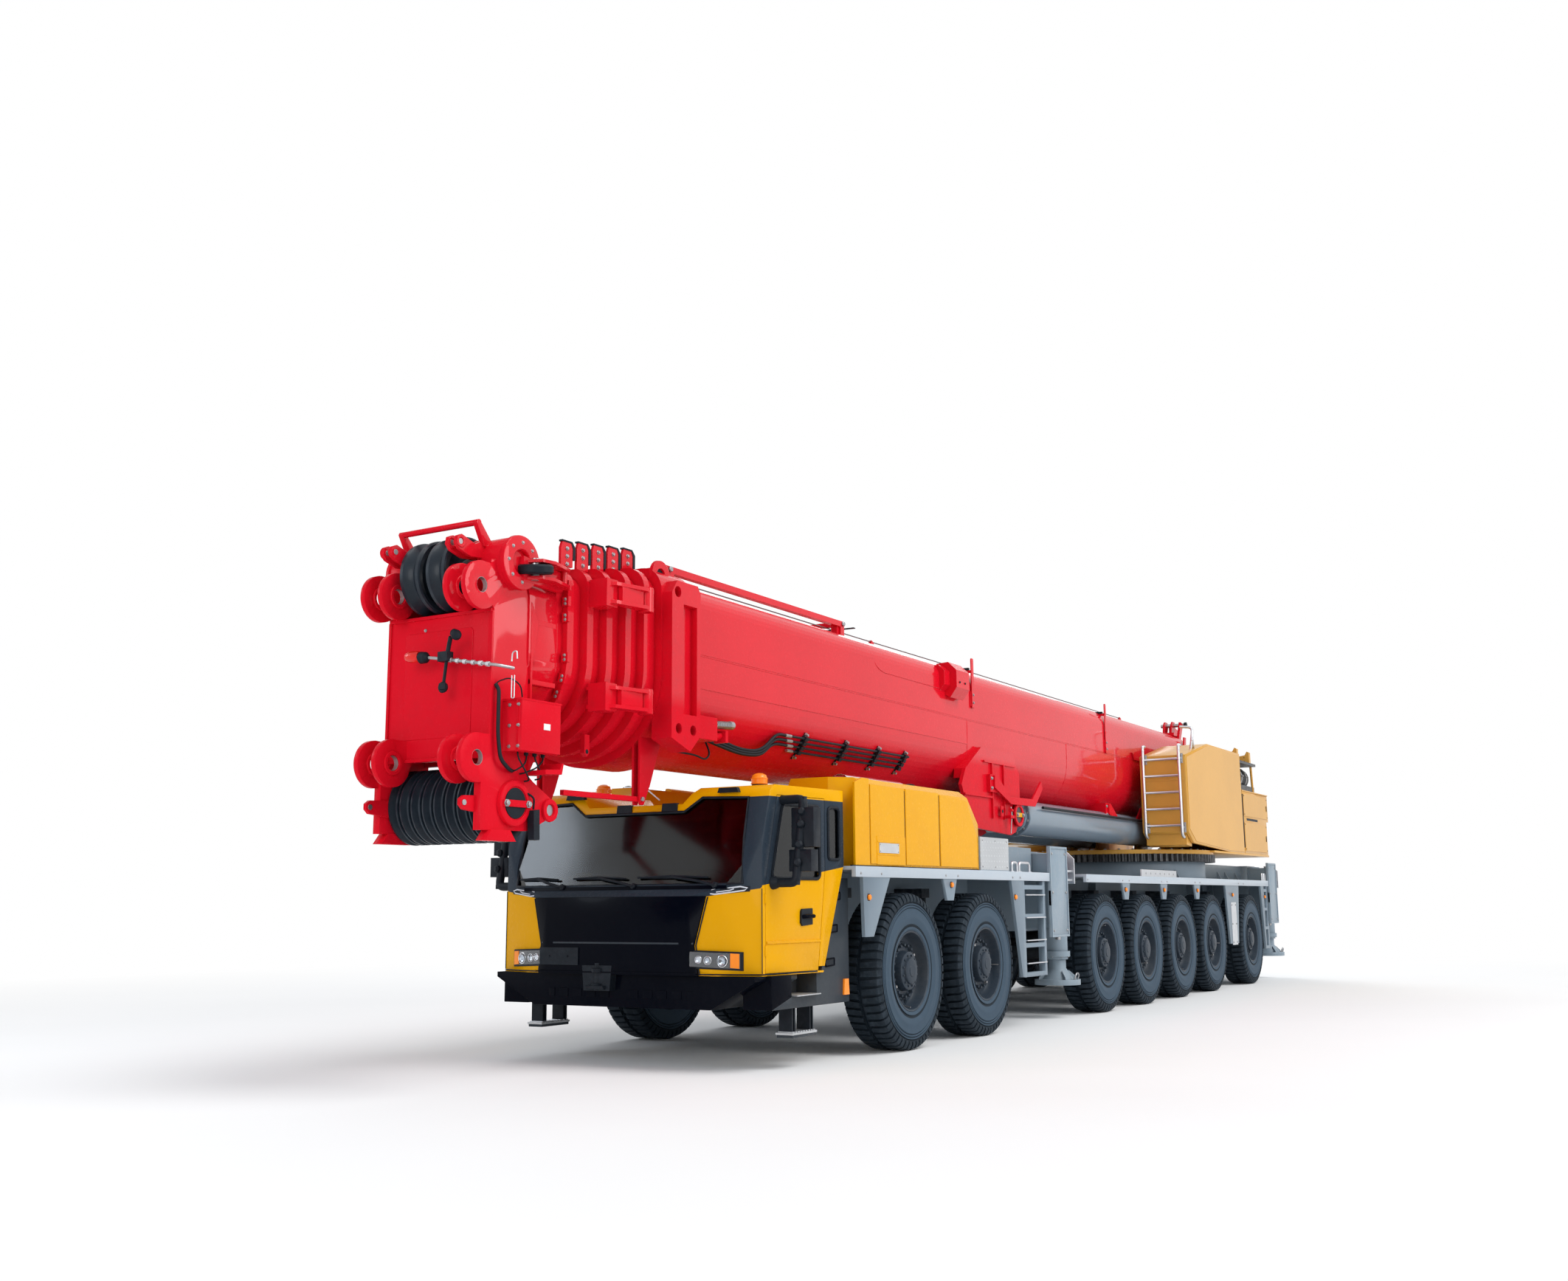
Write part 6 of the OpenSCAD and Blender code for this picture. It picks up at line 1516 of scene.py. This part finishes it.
def boom_foot_arm():
    """Folding arm on top of the boom's foot."""
    red = Piece("boom_foot_arm", "boom", "boom_red", boom_red, bare_steel, trim_plastic)
    for y in (0.30, 0.42):
        red.add(slab([(-11.95, 3.88), (-11.80, 3.88), (-11.86, 4.10), (-11.92, 4.15), (-12.02, 4.15), (-12.08, 4.10)],
                     "y", y, y + 0.03), True)
    red.add(slab([(-11.72, 3.70), (-11.62, 3.70), (-11.86, 4.13), (-11.98, 4.10)], "y", 0.56, 0.60), True)
    red.add(slab([(-11.50, 2.78), (-11.40, 2.90), (-11.66, 3.86), (-11.76, 3.86), (-11.62, 3.0)], "y", 0.675, 0.70),
            True)
    red.add(ring([(0, 0.12), (0.035, 0.115), (0.035, 0.05), (0, 0.05)], (-11.46, 0.668, 2.86), LEFT, 32), True)
    red.add(turned([(0, 0.05), (0.042, 0.05)], (-11.46, 0.668, 2.86), LEFT, 24), True, 1)
    red.add(slab([(-12.05, 3.96), (-12.34, 3.975), (-12.39, 4.01), (-12.36, 4.05), (-12.05, 4.11)], "y", 0.34, 0.40),
            True)
    red.add(rod((-11.97, 0.24, 4.09), (-11.97, 0.62, 4.09), 0.03, 14), True, 1)
    red.add(rod((-11.97, 0.62, 4.09), (-11.97, 0.66, 4.09), 0.045, 14), True, 2)
    red.add(brick(-11.9, -11.5, 0.20, 0.58, 3.88, 3.93), True)
    red.done(0.004)


house_details()
upper_machinery()
operator_details()
boom_foot_arm()


# Light, floor and the end
SKY_TINT, SKY_LEVEL = (0.92, 0.96, 1.0, 1), 0.46
SUN_LEVEL, SUN_SPREAD, SUN_AIM = 1.5, 32, (0.12, -0.72, -1.0)  # the spread in degrees
LAMPS = (  # name, place, aim, size in metres, watts, tint
    ("front_fill", (24, 4, 7), (5, 0, 1.8), 9.0, 800, (1, 1, 1)),
    ("screen_glow", (13.07, -8.22, 5.99), (7.1, -0.6, 1.75), 2.9, 130, (0.80, 0.89, 1.0)),
    ("side_strip", (2, 17, 7), (-1, 0, 2), 10.0, 900, (1, 1, 1)),
    ("back_light", (-18, -10, 11), (-2, 0, 2), 12.0, 1200, (1, 1, 1)))
FLOOR_HALF, FLOOR_Z = 150, -0.002
FADE_FROM, FADE_TO = 9.0, 19.0  # where the floor fades into the white background


def looked_at(tree):
    """1 for what the eye sees straight, in a mirror or through glass."""
    seen = put(tree, "LightPath").outputs
    shown = calc(tree, "MAXIMUM", seen["Is Glossy Ray"], seen["Is Transmission Ray"])
    return calc(tree, "MAXIMUM", seen["Is Camera Ray"], shown)


def studio_sky():
    """A white background, and a softer light on the object."""
    world = bpy.data.worlds.new("studio")
    bpy.context.scene.world = world
    world.use_nodes = True
    tree = world.node_tree
    tree.nodes.clear()
    shown, soft, out = put(tree, "Background"), put(tree, "Background"), put(tree, "OutputWorld")
    shown.inputs["Color"].default_value = (1, 1, 1, 1)
    shown.inputs["Strength"].default_value = 1.0
    soft.inputs["Color"].default_value = SKY_TINT
    soft.inputs["Strength"].default_value = SKY_LEVEL
    mix = put(tree, "MixShader")
    tree.links.new(looked_at(tree), mix.inputs[0])
    tree.links.new(soft.outputs[0], mix.inputs[1])
    tree.links.new(shown.outputs[0], mix.inputs[2])
    tree.links.new(mix.outputs[0], out.inputs[0])


def hang(data, place, aim):
    """Puts a lamp at a place, shining along a direction."""
    lamp = bpy.data.objects.new(data.name, data)
    lamp.matrix_world = Matrix.Translation(place) @ Vector(aim).to_track_quat("-Z", "Y").to_matrix().to_4x4()
    bpy.context.scene.collection.objects.link(lamp)


def studio_lamps():
    """A broad sun and four round soft lamps."""
    sun = bpy.data.lights.new("sun_light", "SUN")
    sun.energy = SUN_LEVEL
    sun.angle = math.radians(SUN_SPREAD)
    hang(sun, (0, 0, 0), SUN_AIM)
    for name, place, aim, size, watts, tint in LAMPS:
        data = bpy.data.lights.new(name, "AREA")
        data.shape = "DISK"
        data.size = size
        data.energy = watts
        data.color = tint
        hang(data, place, Vector(aim) - Vector(place))


def studio_floor():
    """A pale floor that keeps the shadow and fades to white."""
    mat, tree, bsdf = surface("studio_floor")
    where = put(tree, "TexCoord")
    pale = blend_colour(tree, noise(tree, where.outputs["Object"], 0.4), (0.90, 0.90, 0.90), (0.93, 0.93, 0.93))
    tree.links.new(pale, bsdf.inputs["Base Color"])
    bsdf.inputs["Roughness"].default_value = 0.9
    glow, mix = put(tree, "Emission"), put(tree, "MixShader")
    reach = put(tree, "VectorMath", operation="LENGTH")
    tree.links.new(where.outputs["Object"], reach.inputs[0])
    far = span(tree, reach.outputs["Value"], FADE_FROM, FADE_TO)
    tree.links.new(calc(tree, "MULTIPLY", far, looked_at(tree)), mix.inputs[0])
    tree.links.new(bsdf.outputs[0], mix.inputs[1])
    tree.links.new(glow.outputs[0], mix.inputs[2])
    tree.links.new(mix.outputs[0], tree.nodes["Material Output"].inputs[0])
    mesh = bpy.data.meshes.new("studio_floor")
    corners = ((-1, -1), (1, -1), (1, 1), (-1, 1))
    mesh.from_pydata([(FLOOR_HALF * x, FLOOR_HALF * y, FLOOR_Z) for x, y in corners], [], [(0, 1, 2, 3)])
    mesh.materials.append(mat)
    floor = bpy.data.objects.new("studio_floor", mesh)
    bpy.context.scene.collection.objects.link(floor)


studio_sky()
studio_lamps()
studio_floor()
bpy.context.scene.view_settings.view_transform = "Standard"
